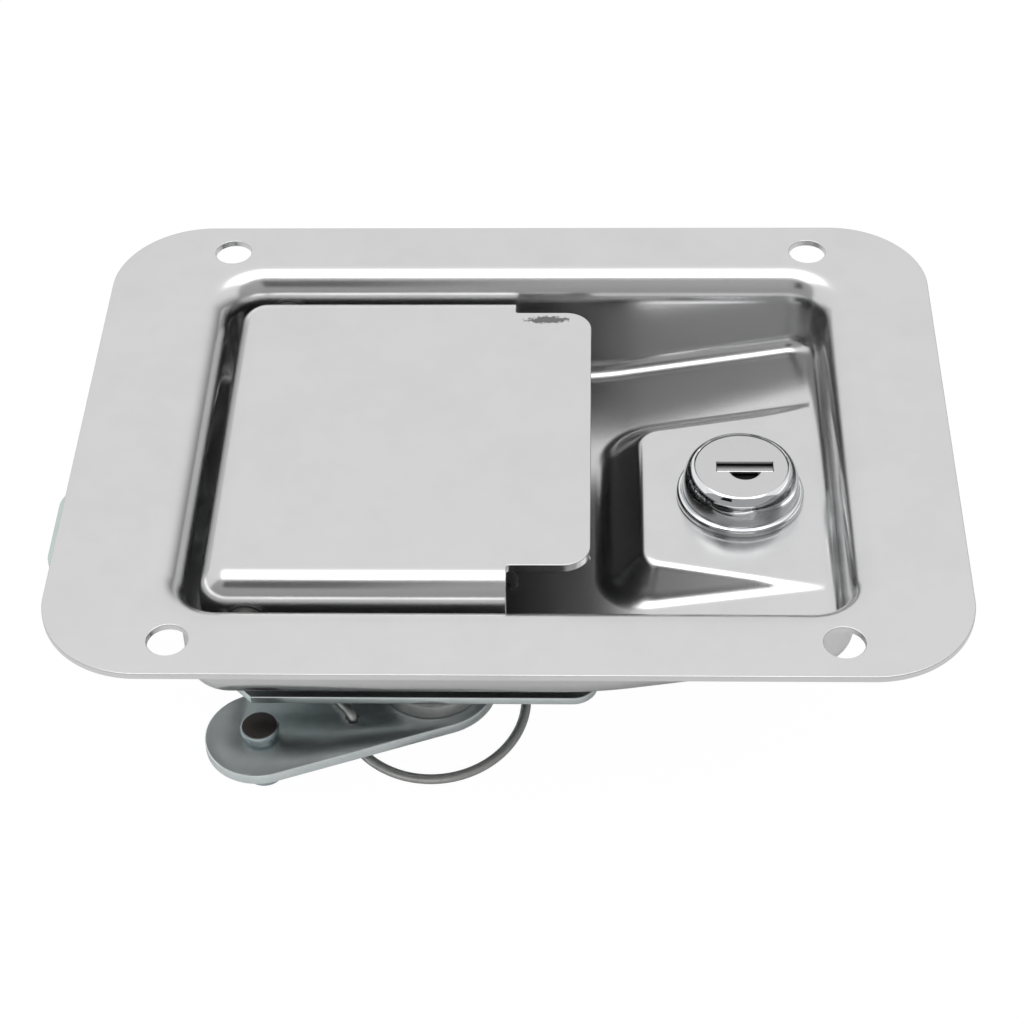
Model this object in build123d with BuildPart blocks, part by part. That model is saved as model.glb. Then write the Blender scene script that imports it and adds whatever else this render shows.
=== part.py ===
from build123d import *
from math import atan2, cos, degrees, radians, sin, tan
import os

# Flush paddle latch with a key lock, a slam bolt and two rod cranks. Sizes are in millimetres.
# The origin is the centre of the four panel holes, on the rear face of the flange. +Z points out
# of the panel, +X from the slam bolt to the lock, and the halves at +Y and -Y are mirror images.
# The pieces stand at rest: unlocked, paddle closed, bolt and rods thrown.

# ---- Dish: drawn stainless sheet with a flat flange ----
sheet = 1.2
flange_length = 140.0
flange_width = 108.0
flange_corner_r = 16.0
panel_hole_x = 100.0
panel_hole_y = 94.0
panel_hole_r = 3.1
pocket_x = 1.2
pocket_length = 101.4
pocket_width = 77.0
pocket_corner_r = 6.0
pocket_floor_z = -19.0
pocket_floor_r = 2.8
mouth_r = 4.9
ramp_start_x = 8.0
ramp_bend_r = 60.0
ramp_angle = 10.3
pad_z = -12.8
pad_foot_x = 12.2
pad_foot_half_width = 22.8
pad_foot_corner_r = 12.2
pad_foot_depth = 2.0
pad_length = 50.8
pad_spread = 10.8
pad_wall_angle = 47.0
pad_edge_r = 2.4
pad_base_r = 2.5

flange_top = sheet
dish_bottom_z = pocket_floor_z - sheet
pocket_left_x = pocket_x - pocket_length / 2
pocket_right_x = pocket_x + pocket_length / 2
wall_outer_y = pocket_width / 2 + sheet

# ---- Paddle and its lever ----
paddle_sheet = 1.5
paddle_top_z = 0.8
paddle_left_x = -47.7
paddle_notch_x = -0.2
paddle_tip_x = 12.6
paddle_width = 71.8
paddle_roll_r = 4.8
paddle_corner_r = 5.0
paddle_skirt_z = -8.0
paddle_end_skirt_z = -4.4
end_skirt_inset = 1.0
tip_width = 61.2
tip_corner_r = 4.3
tip_lip_drop = 1.3
hinge_x = -40.0
hinge_z = -6.0
hinge_pin_r = 2.0
hinge_boss_r = 5.0
running_gap = 0.05
lever_sheet = 2.0
lever_half_width = 7.0
lever_right_x = -22.0
finger_lean = 16.0
finger_half_width = 2.3
finger_reach = 18.5
lever_boss_r = 4.5
lever_left_x = -43.5
paddle_swing = 2 * finger_lean
floor_slot_length = 14.2
floor_slot_gap = 0.8
pin_head = 1.5
pin_head_r = 3.4
collar_gap = 0.1
collar_r = 3.0

paddle_under_z = paddle_top_z - paddle_sheet
finger_tip_x = hinge_x - finger_reach * sin(radians(finger_lean))
finger_tip_z = hinge_z - finger_reach * cos(radians(finger_lean))
finger_middle_y = lever_half_width - lever_sheet / 2

# ---- Slam bolt, between the dish and the mechanism bracket ----
bolt_top_z = -21.3
bolt_thickness = 2.6
bolt_tip_x = -77.6
bolt_tail_x = -10.5
bolt_half_width = 11.0
bolt_tip_r = 5.0
bolt_head_right_x = -54.0
bolt_head_thickness = 6.0
bolt_bevel_length = 8.0
bolt_bevel_tip = 1.6
bolt_gap = 0.1
window_half_width = 1.3
bolt_bottom_z = bolt_top_z - bolt_thickness


def finger_edge_x(level_z, swing):
    """X of the finger's driving edge at a height, with the paddle turned by swing degrees."""
    lean = radians(swing - finger_lean)
    return hinge_x + (hinge_z - level_z) * tan(lean) + finger_half_width / cos(lean)


contact_start_x = finger_edge_x(bolt_top_z, 0)
bolt_travel = finger_edge_x(bolt_bottom_z, paddle_swing) - contact_start_x
window_right_x = contact_start_x + bolt_gap
finger_back_x = finger_edge_x(bolt_bottom_z, 0) - 2 * finger_half_width / cos(radians(finger_lean))
window_left_x = finger_back_x - bolt_travel - 2 * bolt_gap

# ---- Mechanism bracket and the rails that carry it ----
bracket_top_z = -24.1
bracket_thickness = 1.5
bracket_left_x = -43.6
bracket_right_x = 13.8
bracket_width = 70.4
bracket_chamfer = 2.5
bracket_corner_r = 4.0
finger_notch_x = -31.2
notch_width = 2.8
rail_inner_y = 11.3
rail_width = 6.0
rail_end_inset = 1.0
rivet_r = 2.0
rivet_head_r = 3.4
rivet_head = 1.1
head_round = 0.7
rivet_xs = (-27.0, -2.5)
bracket_bottom_z = bracket_top_z - bracket_thickness
rail_middle_y = rail_inner_y + rail_width / 2

# ---- Cranks, at the front and the back ----
crank_x = -12.8
crank_y = 27.2
crank_top_z = -28.4
crank_thickness = 2.0
crank_hub_r = 10.5
crank_stud_end_r = 8.8
stud_reach_x = -26.7
stud_reach_y = 11.9
drive_pin_y = 7.5
drive_pin_r = 2.5
drive_pin_end_z = -31.2
drive_pin_chamfer = 0.4
drive_slot_end_gap = 0.5
drive_slot_side_gap = 0.3
fork_gap = 0.15
fork_end_r = 6.6
fork_slot_length = 12.5
fork_slot_shift = 3.0
bush_r = 8.7
hub_rivet_r = 3.0
hub_rivet_head_r = 5.2
hub_rivet_head = 1.2
hub_washer_r = 6.5
hub_washer_thickness = 0.8
stacking_gap = 0.1
crank_bottom_z = crank_top_z - crank_thickness
drive_pin_x = crank_x - bolt_travel / 2
fork_reach = crank_y - drive_pin_y
crank_swing = 2 * degrees(atan2(bolt_travel / 2, fork_reach))

# ---- Rod studs ----
stud_head_r = 3.05
stud_groove_r = 2.5
stud_shank_r = 3.0
stud_head_top_z = -26.4
stud_head_bottom_z = -27.4
stud_end_z = -38.3
stud_end_chamfer = 0.8

# ---- Springs ----
crank_wire_r = 0.8
crank_loop_r = 15.0
crank_loop_z = -33.4
crank_loop_tilt = 9.0
fixed_leg_angle = 20.0
moving_leg_angle = 215.0
leg_hole_r = 1.1
leg_top_z = -23.3
hook_length = 5.4
hook_angle = 128.0
paddle_wire_r = 0.6
paddle_coil_r = 2.65
paddle_coil_turns = 4.25
paddle_coil_pitch = 1.4
paddle_web_leg = 2.6
paddle_floor_leg = 12.2

# ---- Key lock ----
lock_x = 37.05
lock_body_r = 9.0
lock_hole_gap = 0.1
lock_flange_r = 10.4
lock_flange_thickness = 1.5
lock_dome_r = 9.6
lock_face_z = -6.35
lock_end_z = -24.0
plug_r = 7.6
plug_face_sink = 0.25
plug_edge = 0.12
lock_nut_flats = 22.0
lock_nut_thickness = 3.5
lock_washer_r = 12.0
lock_washer_thickness = 0.8
recess_half_width = 4.65
recess_front_y = -1.3
recess_back_y = 1.15
recess_depth = 0.9
finger_well_r = 2.75
finger_well_y = -0.5
keyway_offset = 0.55
keyway_half_width = 4.3
keyway_front_y = -1.2
keyway_back_y = 0.95
keyway_depth = 12.0
shutter_thickness = 0.5
shutter_barrel_r = 0.45
shutter_pivot_r = 0.25
shutter_pivot_half = 5.2
shutter_pivot_gap = 0.03
shutter_edge_gap = 0.15
wafer_count = 4
wafer_pitch = 2.4
wafer_first_depth = 2.6
wafer_thickness = 0.9
wafer_length = 12.8
wafer_width = 5.4
wafer_gap = 0.1
cam_thickness = 2.0
cam_reach = 21.0
cam_end_r = 4.5
cam_hub_r = 7.0
cam_square = 6.0
plug_square_sink = 0.1
cam_screw_r = 1.9
cam_screw_head_r = 3.6
cam_screw_head = 2.2
cam_screw_length = 5.5
screw_cross_width = 0.9
screw_cross_inset = 1.3
screw_cross_depth = 1.0

plug_face_z = lock_face_z - plug_face_sink
recess_floor_z = plug_face_z - recess_depth
cam_top_z = lock_end_z - plug_square_sink - 0.2
cam_bottom_z = cam_top_z - cam_thickness
keyway_x = lock_x + keyway_offset
keyway_y = (keyway_front_y + keyway_back_y) / 2
keyway_width = keyway_back_y - keyway_front_y
shutter_y = keyway_back_y - wafer_gap - shutter_barrel_r
shutter_z = recess_floor_z - shutter_barrel_r - shutter_pivot_gap
wafer_tops = [recess_floor_z - wafer_first_depth - i * wafer_pitch for i in range(wafer_count)]


def finish(piece, name):
    """Name a finished piece and write it to parts/."""
    piece.part.label = name
    export_step(piece.part, f"parts/{name}.step")


def crank_point(reach, angle):
    """A point at a reach and a direction in degrees from the front crank's centre."""
    return (crank_x + reach * cos(radians(angle)), -crank_y + reach * sin(radians(angle)))


os.makedirs("parts", exist_ok=True)

# ==== Dish ====
# The hollow is made first: flat floor, ramps that climb to the right and the raised lock pad.
with BuildPart() as pocket_hollow:
    with BuildSketch(Plane.XZ.offset(-flange_width / 2)):
        with BuildLine():
            left_side = Line((-flange_length / 2, flange_top), (-flange_length / 2, pocket_floor_z))
            floor_line = Line(left_side @ 1, (ramp_start_x, pocket_floor_z))
            bend = JernArc(floor_line @ 1, floor_line % 1, ramp_bend_r, ramp_angle)
            ramp_line = Line(bend @ 1, bend @ 1 + (bend % 1) * pocket_length / 2)
            right_side = Line(ramp_line @ 1, ((ramp_line @ 1).X, flange_top))
            Line(right_side @ 1, left_side @ 0)
        make_face()
    extrude(amount=flange_width)
    with BuildSketch(Plane.XY.offset(pocket_floor_z)):
        with Locations((pocket_x, 0)):
            RectangleRounded(pocket_length, pocket_width, pocket_corner_r)
    extrude(amount=flange_top - pocket_floor_z, mode=Mode.INTERSECT)
    low_edges = pocket_hollow.edges().filter_by_position(Axis.Z, pocket_floor_z, pad_z + 2)
    across_floor = low_edges.filter_by(Axis.Y).filter_by_position(
        Axis.X, pocket_left_x + 1, pocket_right_x - 1
    )
    fillet(low_edges - across_floor, radius=pocket_floor_r)

with BuildPart() as pad_block:
    pad_far_x = pad_foot_x + pad_length
    with BuildSketch(Plane.XY.offset(pocket_floor_z - pad_foot_depth)):
        with BuildLine():
            Polyline(
                (pad_foot_x, pad_foot_half_width),
                (pad_foot_x, -pad_foot_half_width),
                (pad_far_x, -pad_foot_half_width - pad_spread),
                (pad_far_x, pad_foot_half_width + pad_spread),
                close=True,
            )
        make_face()
        fillet(vertices().sort_by(Axis.X)[:2], radius=pad_foot_corner_r)
    extrude(amount=pad_z - pocket_floor_z + pad_foot_depth, taper=pad_wall_angle)
    pad_rim = pad_block.faces().sort_by(Axis.Z)[-1].edges().sort_by(Axis.X)[:-1]
    fillet(pad_rim, radius=pad_edge_r)

with BuildPart() as pocket_shell:
    add(pocket_hollow.part)
    add(pad_block.part, mode=Mode.SUBTRACT)
    pad_base = pocket_shell.edges().filter_by_position(Axis.X, pad_foot_x, pad_foot_x + 8)
    pad_base = pad_base.filter_by_position(Axis.Z, pocket_floor_z + 0.2, pad_z - 0.8)
    pad_base = pad_base.filter_by_position(Axis.Y, 5 - pocket_width / 2, pocket_width / 2 - 5)
    fillet(pad_base, radius=pad_base_r)
    offset(amount=sheet, openings=pocket_shell.faces().sort_by(Axis.Z)[-1])

with BuildPart() as dish:
    with BuildSketch():
        RectangleRounded(flange_length, flange_width, flange_corner_r)
        with Locations((pocket_x, 0)):
            RectangleRounded(pocket_length, pocket_width, pocket_corner_r, mode=Mode.SUBTRACT)
    extrude(amount=sheet)
    add(pocket_shell.part)
    under_rim = dish.edges().filter_by_position(Axis.Z, -0.01, 0.01)
    under_rim = under_rim.filter_by_position(Axis.Y, -wall_outer_y - 0.1, wall_outer_y + 0.1)
    under_rim = under_rim.filter_by_position(Axis.X, -flange_length / 2 + 1, flange_length / 2 - 1)
    fillet(under_rim, radius=mouth_r - sheet)
    mouth = dish.edges().filter_by_position(Axis.Z, flange_top - 0.01, flange_top + 0.01)
    mouth = mouth.filter_by_position(Axis.Y, -wall_outer_y, wall_outer_y)
    mouth = mouth.filter_by_position(Axis.X, -flange_length / 2 + 1, flange_length / 2 - 1)
    fillet(mouth, radius=mouth_r)
    with BuildSketch(Plane.XY.offset(flange_top)):
        with GridLocations(panel_hole_x, panel_hole_y, 2, 2):
            Circle(panel_hole_r)
    extrude(amount=-sheet, mode=Mode.SUBTRACT)
    with BuildSketch(Plane.XY.offset(pad_z + 1)):
        with Locations((lock_x, 0)):
            Circle(lock_body_r + lock_hole_gap)
    extrude(amount=pocket_floor_z - pad_z, mode=Mode.SUBTRACT)
    with BuildSketch(Plane.XY.offset(dish_bottom_z - 1)):
        for y in (-finger_middle_y, finger_middle_y):
            with Locations((hinge_x, y)):
                Rectangle(floor_slot_length, lever_sheet + floor_slot_gap)
        for x in rivet_xs:
            with Locations((x, -rail_middle_y), (x, rail_middle_y)):
                Circle(rivet_r)
    extrude(amount=sheet + 2, mode=Mode.SUBTRACT)
    with BuildSketch(Plane.XZ.offset(-flange_width / 2)):
        with Locations((hinge_x, hinge_z)):
            Circle(hinge_pin_r)
    extrude(amount=flange_width, mode=Mode.SUBTRACT)
finish(dish, "dish")

# ==== Paddle ====
# A stamped lid with rolled edges on three sides. Its skirts carry the hinge pin, and its free
# end runs on past them as a flat tip with a curled lip.
with BuildPart() as paddle:
    skirt_length = paddle_notch_x - paddle_left_x
    with BuildSketch(Plane.XY.offset(paddle_top_z)):
        with Locations((paddle_left_x + skirt_length / 2, 0)):
            Rectangle(skirt_length, paddle_width)
        fillet(vertices().sort_by(Axis.X)[:2], radius=paddle_corner_r)
    extrude(amount=paddle_skirt_z - paddle_top_z)
    roll = paddle.faces().sort_by(Axis.Z)[-1].edges().sort_by(Axis.X)[:-1]
    fillet(roll, radius=paddle_roll_r)
    open_faces = [paddle.faces().sort_by(Axis.Z)[0], paddle.faces().sort_by(Axis.X)[-1]]
    offset(amount=-paddle_sheet, openings=open_faces)
    with BuildSketch(Plane.XY.offset(paddle_skirt_z)):
        with Locations((paddle_left_x, 0)):
            Rectangle(4 * paddle_sheet, paddle_width - 2 * (paddle_corner_r + end_skirt_inset))
    extrude(amount=paddle_end_skirt_z - paddle_skirt_z, mode=Mode.SUBTRACT)
    with BuildSketch(Plane.XZ.offset(-paddle_width / 2)):
        with Locations((hinge_x, hinge_z)):
            Circle(hinge_boss_r)
    extrude(amount=paddle_sheet)
    with BuildSketch(Plane.XZ.offset(paddle_width / 2 - paddle_sheet)):
        with Locations((hinge_x, hinge_z)):
            Circle(hinge_boss_r)
    extrude(amount=paddle_sheet)
    tip_length = paddle_tip_x - paddle_notch_x + 1
    with BuildSketch(Plane.XY.offset(paddle_under_z)):
        with Locations((paddle_tip_x - tip_length / 2, 0)):
            Rectangle(tip_length, tip_width)
        fillet(vertices().sort_by(Axis.X)[-2:], radius=tip_corner_r)
    extrude(amount=paddle_sheet)
    with BuildSketch(Plane.XY.offset(paddle_under_z - tip_lip_drop)):
        with Locations((paddle_tip_x - paddle_sheet / 2, 0)):
            Rectangle(paddle_sheet, tip_width - 2 * tip_corner_r)
    extrude(amount=tip_lip_drop)
    with BuildSketch(Plane.XZ.offset(-flange_width / 2)):
        with Locations((hinge_x, hinge_z)):
            Circle(hinge_pin_r + running_gap)
    extrude(amount=flange_width, mode=Mode.SUBTRACT)
finish(paddle, "paddle")

# A channel welded under the paddle. Its two cheeks turn on the pin and end in the fingers.
with BuildPart() as paddle_lever:
    cheek_top = paddle_under_z
    with BuildSketch(Plane.XZ.offset(lever_half_width - lever_sheet)):
        with Locations((hinge_x, hinge_z), (finger_tip_x, finger_tip_z)):
            Circle(finger_half_width)
        make_hull()
        with Locations((hinge_x, hinge_z)):
            Circle(lever_boss_r)
        with BuildLine():
            Polyline(
                (lever_left_x, cheek_top),
                (lever_left_x, hinge_z + 1),
                (hinge_x - lever_boss_r + 0.6, hinge_z - 2),
                (hinge_x + 2, hinge_z - lever_boss_r + 0.5),
                (lever_right_x - 4, cheek_top - 2 * lever_sheet),
                (lever_right_x, cheek_top - lever_sheet),
                (lever_right_x, cheek_top),
                close=True,
            )
        make_face()
    extrude(amount=lever_sheet)
    mirror(about=Plane.XZ)
    with BuildSketch(Plane.XY.offset(cheek_top)):
        with Locations(((lever_left_x + lever_right_x) / 2, 0)):
            Rectangle(lever_right_x - lever_left_x, 2 * lever_half_width)
    extrude(amount=-lever_sheet)
    with BuildSketch(Plane.XZ.offset(-lever_half_width)):
        with Locations((hinge_x, hinge_z)):
            Circle(hinge_pin_r + running_gap)
    extrude(amount=2 * lever_half_width, mode=Mode.SUBTRACT)
finish(paddle_lever, "paddle_lever")

with BuildPart() as paddle_pin:
    with BuildSketch(Plane.XZ.offset(-wall_outer_y)):
        with Locations((hinge_x, hinge_z)):
            Circle(hinge_pin_r)
    extrude(amount=2 * wall_outer_y)
    for start, length in ((wall_outer_y, pin_head), (-wall_outer_y, -pin_head)):
        with BuildSketch(Plane.XZ.offset(start)):
            with Locations((hinge_x, hinge_z)):
                Circle(pin_head_r)
        extrude(amount=length)
    fillet(paddle_pin.faces().sort_by(Axis.Y)[0].edges(), radius=pin_head / 2)
    fillet(paddle_pin.faces().sort_by(Axis.Y)[-1].edges(), radius=pin_head / 2)
finish(paddle_pin, "paddle_pin")

# Two collars on the pin keep the paddle in the middle of the pocket.
with BuildPart() as paddle_collars:
    collar_length = (pocket_width - paddle_width) / 2 - 2 * collar_gap
    with BuildSketch(Plane.XZ.offset(paddle_width / 2 + collar_gap)):
        with Locations((hinge_x, hinge_z)):
            Circle(collar_r)
            Circle(hinge_pin_r + running_gap, mode=Mode.SUBTRACT)
    extrude(amount=collar_length)
    mirror(about=Plane.XZ)
finish(paddle_collars, "paddle_collars")

# Torsion spring on the pin between the cheeks: one leg lifts the web left of the pin, which
# closes the paddle, and the other stands on the pocket's floor.
with BuildPart() as paddle_spring:
    coil_length = paddle_coil_turns * paddle_coil_pitch
    with BuildLine():
        coil = Helix(
            paddle_coil_pitch,
            coil_length,
            paddle_coil_r,
            center=(hinge_x, -coil_length / 2, hinge_z),
            direction=(0, 1, 0),
        )
    with BuildSketch(Plane(origin=coil @ 0, z_dir=coil % 0)):
        Circle(paddle_wire_r)
    sweep(path=coil)
    for foot, way, length in (
        (coil @ 0, -(coil % 0), paddle_web_leg),
        (coil @ 1, coil % 1, paddle_floor_leg),
    ):
        with BuildSketch(Plane(origin=foot, z_dir=way)):
            Circle(paddle_wire_r)
        extrude(amount=length)
finish(paddle_spring, "paddle_spring")

# ==== Slam bolt ====
with BuildPart() as bolt:
    bolt_length = bolt_tail_x - bolt_tip_x
    head_length = bolt_head_right_x - bolt_tip_x
    for length, depth in ((bolt_length, bolt_thickness), (head_length, bolt_head_thickness)):
        with BuildSketch(Plane.XY.offset(bolt_top_z)):
            with Locations((bolt_tip_x + length / 2, 0)):
                Rectangle(length, 2 * bolt_half_width)
            fillet(vertices().sort_by(Axis.X)[:2], radius=bolt_tip_r)
        extrude(amount=-depth)
    with BuildSketch(Plane.XZ.offset(-bolt_half_width)):
        with BuildLine():
            Polyline(
                (bolt_tip_x, bolt_top_z - bolt_bevel_tip),
                (bolt_tip_x + bolt_bevel_length, bolt_top_z - bolt_head_thickness),
                (bolt_tip_x, bolt_top_z - bolt_head_thickness),
                close=True,
            )
        make_face()
    extrude(amount=2 * bolt_half_width, mode=Mode.SUBTRACT)
    with BuildSketch(Plane.XY.offset(bolt_top_z)):
        for y in (-finger_middle_y, finger_middle_y):
            with Locations(((window_left_x + window_right_x) / 2, y)):
                Rectangle(window_right_x - window_left_x, 2 * window_half_width)
        with Locations((drive_pin_x, -drive_pin_y), (drive_pin_x, drive_pin_y)):
            Circle(drive_pin_r)
    extrude(amount=-bolt_head_thickness, mode=Mode.SUBTRACT)
finish(bolt, "bolt")

with BuildPart() as bolt_drive_pins:
    with BuildSketch(Plane.XY.offset(bolt_top_z - stacking_gap)):
        with Locations((drive_pin_x, -drive_pin_y), (drive_pin_x, drive_pin_y)):
            Circle(drive_pin_r)
    extrude(amount=drive_pin_end_z - bolt_top_z + stacking_gap)
    chamfer(bolt_drive_pins.faces().group_by(Axis.Z)[0].edges(), length=drive_pin_chamfer)
finish(bolt_drive_pins, "bolt_drive_pins")

# ==== Mechanism bracket ====
with BuildPart() as mechanism_bracket:
    bracket_length = bracket_right_x - bracket_left_x
    bracket_middle_x = (bracket_right_x + bracket_left_x) / 2
    with BuildSketch(Plane.XY.offset(bracket_top_z)):
        with Locations((bracket_middle_x, 0)):
            Rectangle(bracket_length, bracket_width)
        chamfer(vertices().sort_by(Axis.X)[:2], length=bracket_chamfer)
        fillet(vertices().sort_by(Axis.X)[-2:], radius=bracket_corner_r)
        for y in (-finger_middle_y, finger_middle_y):
            with Locations((bracket_left_x, y)):
                Rectangle(2 * (finger_notch_x - bracket_left_x), notch_width, mode=Mode.SUBTRACT)
        with Locations((crank_x, -drive_pin_y), (crank_x, drive_pin_y)):
            SlotCenterToCenter(
                bolt_travel + 2 * drive_slot_end_gap,
                2 * (drive_pin_r + drive_slot_side_gap),
                mode=Mode.SUBTRACT,
            )
        with Locations((crank_x, -crank_y), (crank_x, crank_y)):
            Circle(hub_rivet_r, mode=Mode.SUBTRACT)
        leg_x, leg_y = crank_point(crank_loop_r, fixed_leg_angle)
        with Locations((leg_x, leg_y), (leg_x, -leg_y)):
            Circle(leg_hole_r, mode=Mode.SUBTRACT)
        for x in rivet_xs:
            with Locations((x, -rail_middle_y), (x, rail_middle_y)):
                Circle(rivet_r, mode=Mode.SUBTRACT)
    extrude(amount=-bracket_thickness)
finish(mechanism_bracket, "mechanism_bracket")

for side, name in ((-1, "guide_rail_front"), (1, "guide_rail_back")):
    with BuildPart() as guide_rail:
        with BuildSketch(Plane.XY.offset(bracket_top_z)):
            with Locations((bracket_middle_x, side * rail_middle_y)):
                Rectangle(bracket_length - 2 * rail_end_inset, rail_width)
            with Locations(*((x, side * rail_middle_y) for x in rivet_xs)):
                Circle(rivet_r, mode=Mode.SUBTRACT)
        extrude(amount=dish_bottom_z - bracket_top_z)
    finish(guide_rail, name)

with BuildPart() as bracket_rivets:
    for x in rivet_xs:
        for y in (-rail_middle_y, rail_middle_y):
            with BuildSketch(Plane.XY.offset(bracket_bottom_z)):
                with Locations((x, y)):
                    Circle(rivet_r)
            extrude(amount=pocket_floor_z - bracket_bottom_z)
            with BuildSketch(Plane.XY.offset(pocket_floor_z)):
                with Locations((x, y)):
                    Circle(rivet_head_r)
            extrude(amount=rivet_head)
            with BuildSketch(Plane.XY.offset(bracket_bottom_z)):
                with Locations((x, y)):
                    Circle(rivet_head_r)
            extrude(amount=-rivet_head)
    for end in (0, -1):
        fillet(bracket_rivets.faces().group_by(Axis.Z)[end].edges(), radius=rivet_head * head_round)
finish(bracket_rivets, "bracket_rivets")

# ==== Cranks ====
with BuildPart() as crank_front:
    pin_angle = degrees(atan2(fork_reach, drive_pin_x - crank_x))
    with BuildSketch(Plane.XY.offset(crank_top_z)):
        with Locations((crank_x, -crank_y)):
            Circle(crank_hub_r)
        with Locations((crank_x + stud_reach_x, -crank_y - stud_reach_y)):
            Circle(crank_stud_end_r)
        make_hull()
    extrude(amount=-crank_thickness)
    with BuildSketch(Plane.XY.offset(crank_top_z)):
        with Locations((crank_x, -crank_y), crank_point(fork_reach, pin_angle)):
            Circle(fork_end_r)
        make_hull()
    extrude(amount=-crank_thickness)
    with BuildSketch(Plane.XY.offset(crank_top_z)):
        with Locations(crank_point(fork_reach + fork_slot_shift, pin_angle)):
            SlotOverall(fork_slot_length, 2 * (drive_pin_r + fork_gap), rotation=pin_angle)
        with Locations((crank_x, -crank_y)):
            Circle(hub_rivet_r + running_gap)
        with Locations((crank_x + stud_reach_x, -crank_y - stud_reach_y)):
            Circle(stud_groove_r)
        with Locations(crank_point(crank_loop_r, moving_leg_angle)):
            Circle(leg_hole_r)
    extrude(amount=-crank_thickness, mode=Mode.SUBTRACT)
finish(crank_front, "crank_front")

with BuildPart() as crank_back:
    add(crank_front.part.mirror(Plane.XZ))
finish(crank_back, "crank_back")

for side, end in ((-1, "front"), (1, "back")):
    with BuildPart() as rod_stud:
        with BuildSketch(Plane.XZ.offset(-side * (crank_y + stud_reach_y))):
            with BuildLine():
                axis_x = crank_x + stud_reach_x
                Polyline(
                    (axis_x, stud_head_top_z),
                    (axis_x + stud_head_r, stud_head_top_z),
                    (axis_x + stud_head_r, stud_head_bottom_z),
                    (axis_x + stud_groove_r, stud_head_bottom_z),
                    (axis_x + stud_groove_r, crank_bottom_z),
                    (axis_x + stud_shank_r, crank_bottom_z),
                    (axis_x + stud_shank_r, stud_end_z + stud_end_chamfer),
                    (axis_x + stud_shank_r - stud_end_chamfer, stud_end_z),
                    (axis_x, stud_end_z),
                    close=True,
                )
            make_face()
        revolve(axis=Axis((axis_x, side * (crank_y + stud_reach_y), 0), (0, 0, 1)))
    finish(rod_stud, f"rod_stud_{end}")

    with BuildPart() as hub_bush:
        with BuildSketch(Plane.XY.offset(bracket_bottom_z)):
            with Locations((crank_x, side * crank_y)):
                Circle(bush_r)
                Circle(hub_rivet_r + running_gap, mode=Mode.SUBTRACT)
        extrude(amount=crank_top_z + stacking_gap - bracket_bottom_z)
    finish(hub_bush, f"hub_bush_{end}")

    with BuildPart() as hub_washer:
        with BuildSketch(Plane.XY.offset(crank_bottom_z - stacking_gap)):
            with Locations((crank_x, side * crank_y)):
                Circle(hub_washer_r)
                Circle(hub_rivet_r + running_gap, mode=Mode.SUBTRACT)
        extrude(amount=-hub_washer_thickness)
    finish(hub_washer, f"hub_washer_{end}")

    with BuildPart() as hub_rivet:
        rivet_foot_z = crank_bottom_z - stacking_gap - hub_washer_thickness
        with BuildSketch(Plane.XY.offset(rivet_foot_z)):
            with Locations((crank_x, side * crank_y)):
                Circle(hub_rivet_r)
        extrude(amount=bracket_top_z - rivet_foot_z)
        for start, height in ((bracket_top_z, hub_rivet_head), (rivet_foot_z, -hub_rivet_head)):
            with BuildSketch(Plane.XY.offset(start)):
                with Locations((crank_x, side * crank_y)):
                    Circle(hub_rivet_head_r)
            extrude(amount=height)
        for end_face in (0, -1):
            fillet(hub_rivet.faces().sort_by(Axis.Z)[end_face].edges(), radius=hub_rivet_head * head_round)
    finish(hub_rivet, f"hub_rivet_{end}")

# Torsion wires hung below the cranks: a short leg through the bracket, an open loop round the
# hub and a leg up through the crank, where its end is bent over.
for turn, end in ((1, "front"), (-1, "back")):
    with BuildPart() as crank_spring:
        loop_plane = Plane(origin=(crank_x, -turn * crank_y, crank_loop_z))
        loop_plane = loop_plane.rotated((turn * crank_loop_tilt, 0, 0))
        loop_sweep = turn * (moving_leg_angle - 360 - fixed_leg_angle)
        with BuildLine(loop_plane):
            loop = CenterArc((0, 0), crank_loop_r, turn * fixed_leg_angle, loop_sweep)
        with BuildSketch(Plane(origin=loop @ 0, z_dir=loop % 0)):
            Circle(crank_wire_r)
        sweep(path=loop)
        fixed_top = Vector((loop @ 0).X, (loop @ 0).Y, leg_top_z)
        hook_z = crank_top_z + crank_wire_r + stacking_gap
        hook_start = Vector((loop @ 1).X, (loop @ 1).Y, hook_z)
        hook_way = Vector(cos(radians(hook_angle)), turn * sin(radians(hook_angle)), 0)
        hook_end = hook_start + hook_way * hook_length
        for foot, head in ((loop @ 0, fixed_top), (loop @ 1, hook_start), (hook_start, hook_end)):
            with BuildSketch(Plane(origin=foot, z_dir=head - foot)):
                Circle(crank_wire_r)
            extrude(amount=(head - foot).length)
            with Locations(foot):
                Sphere(crank_wire_r)
    finish(crank_spring, f"crank_spring_{end}")

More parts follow.
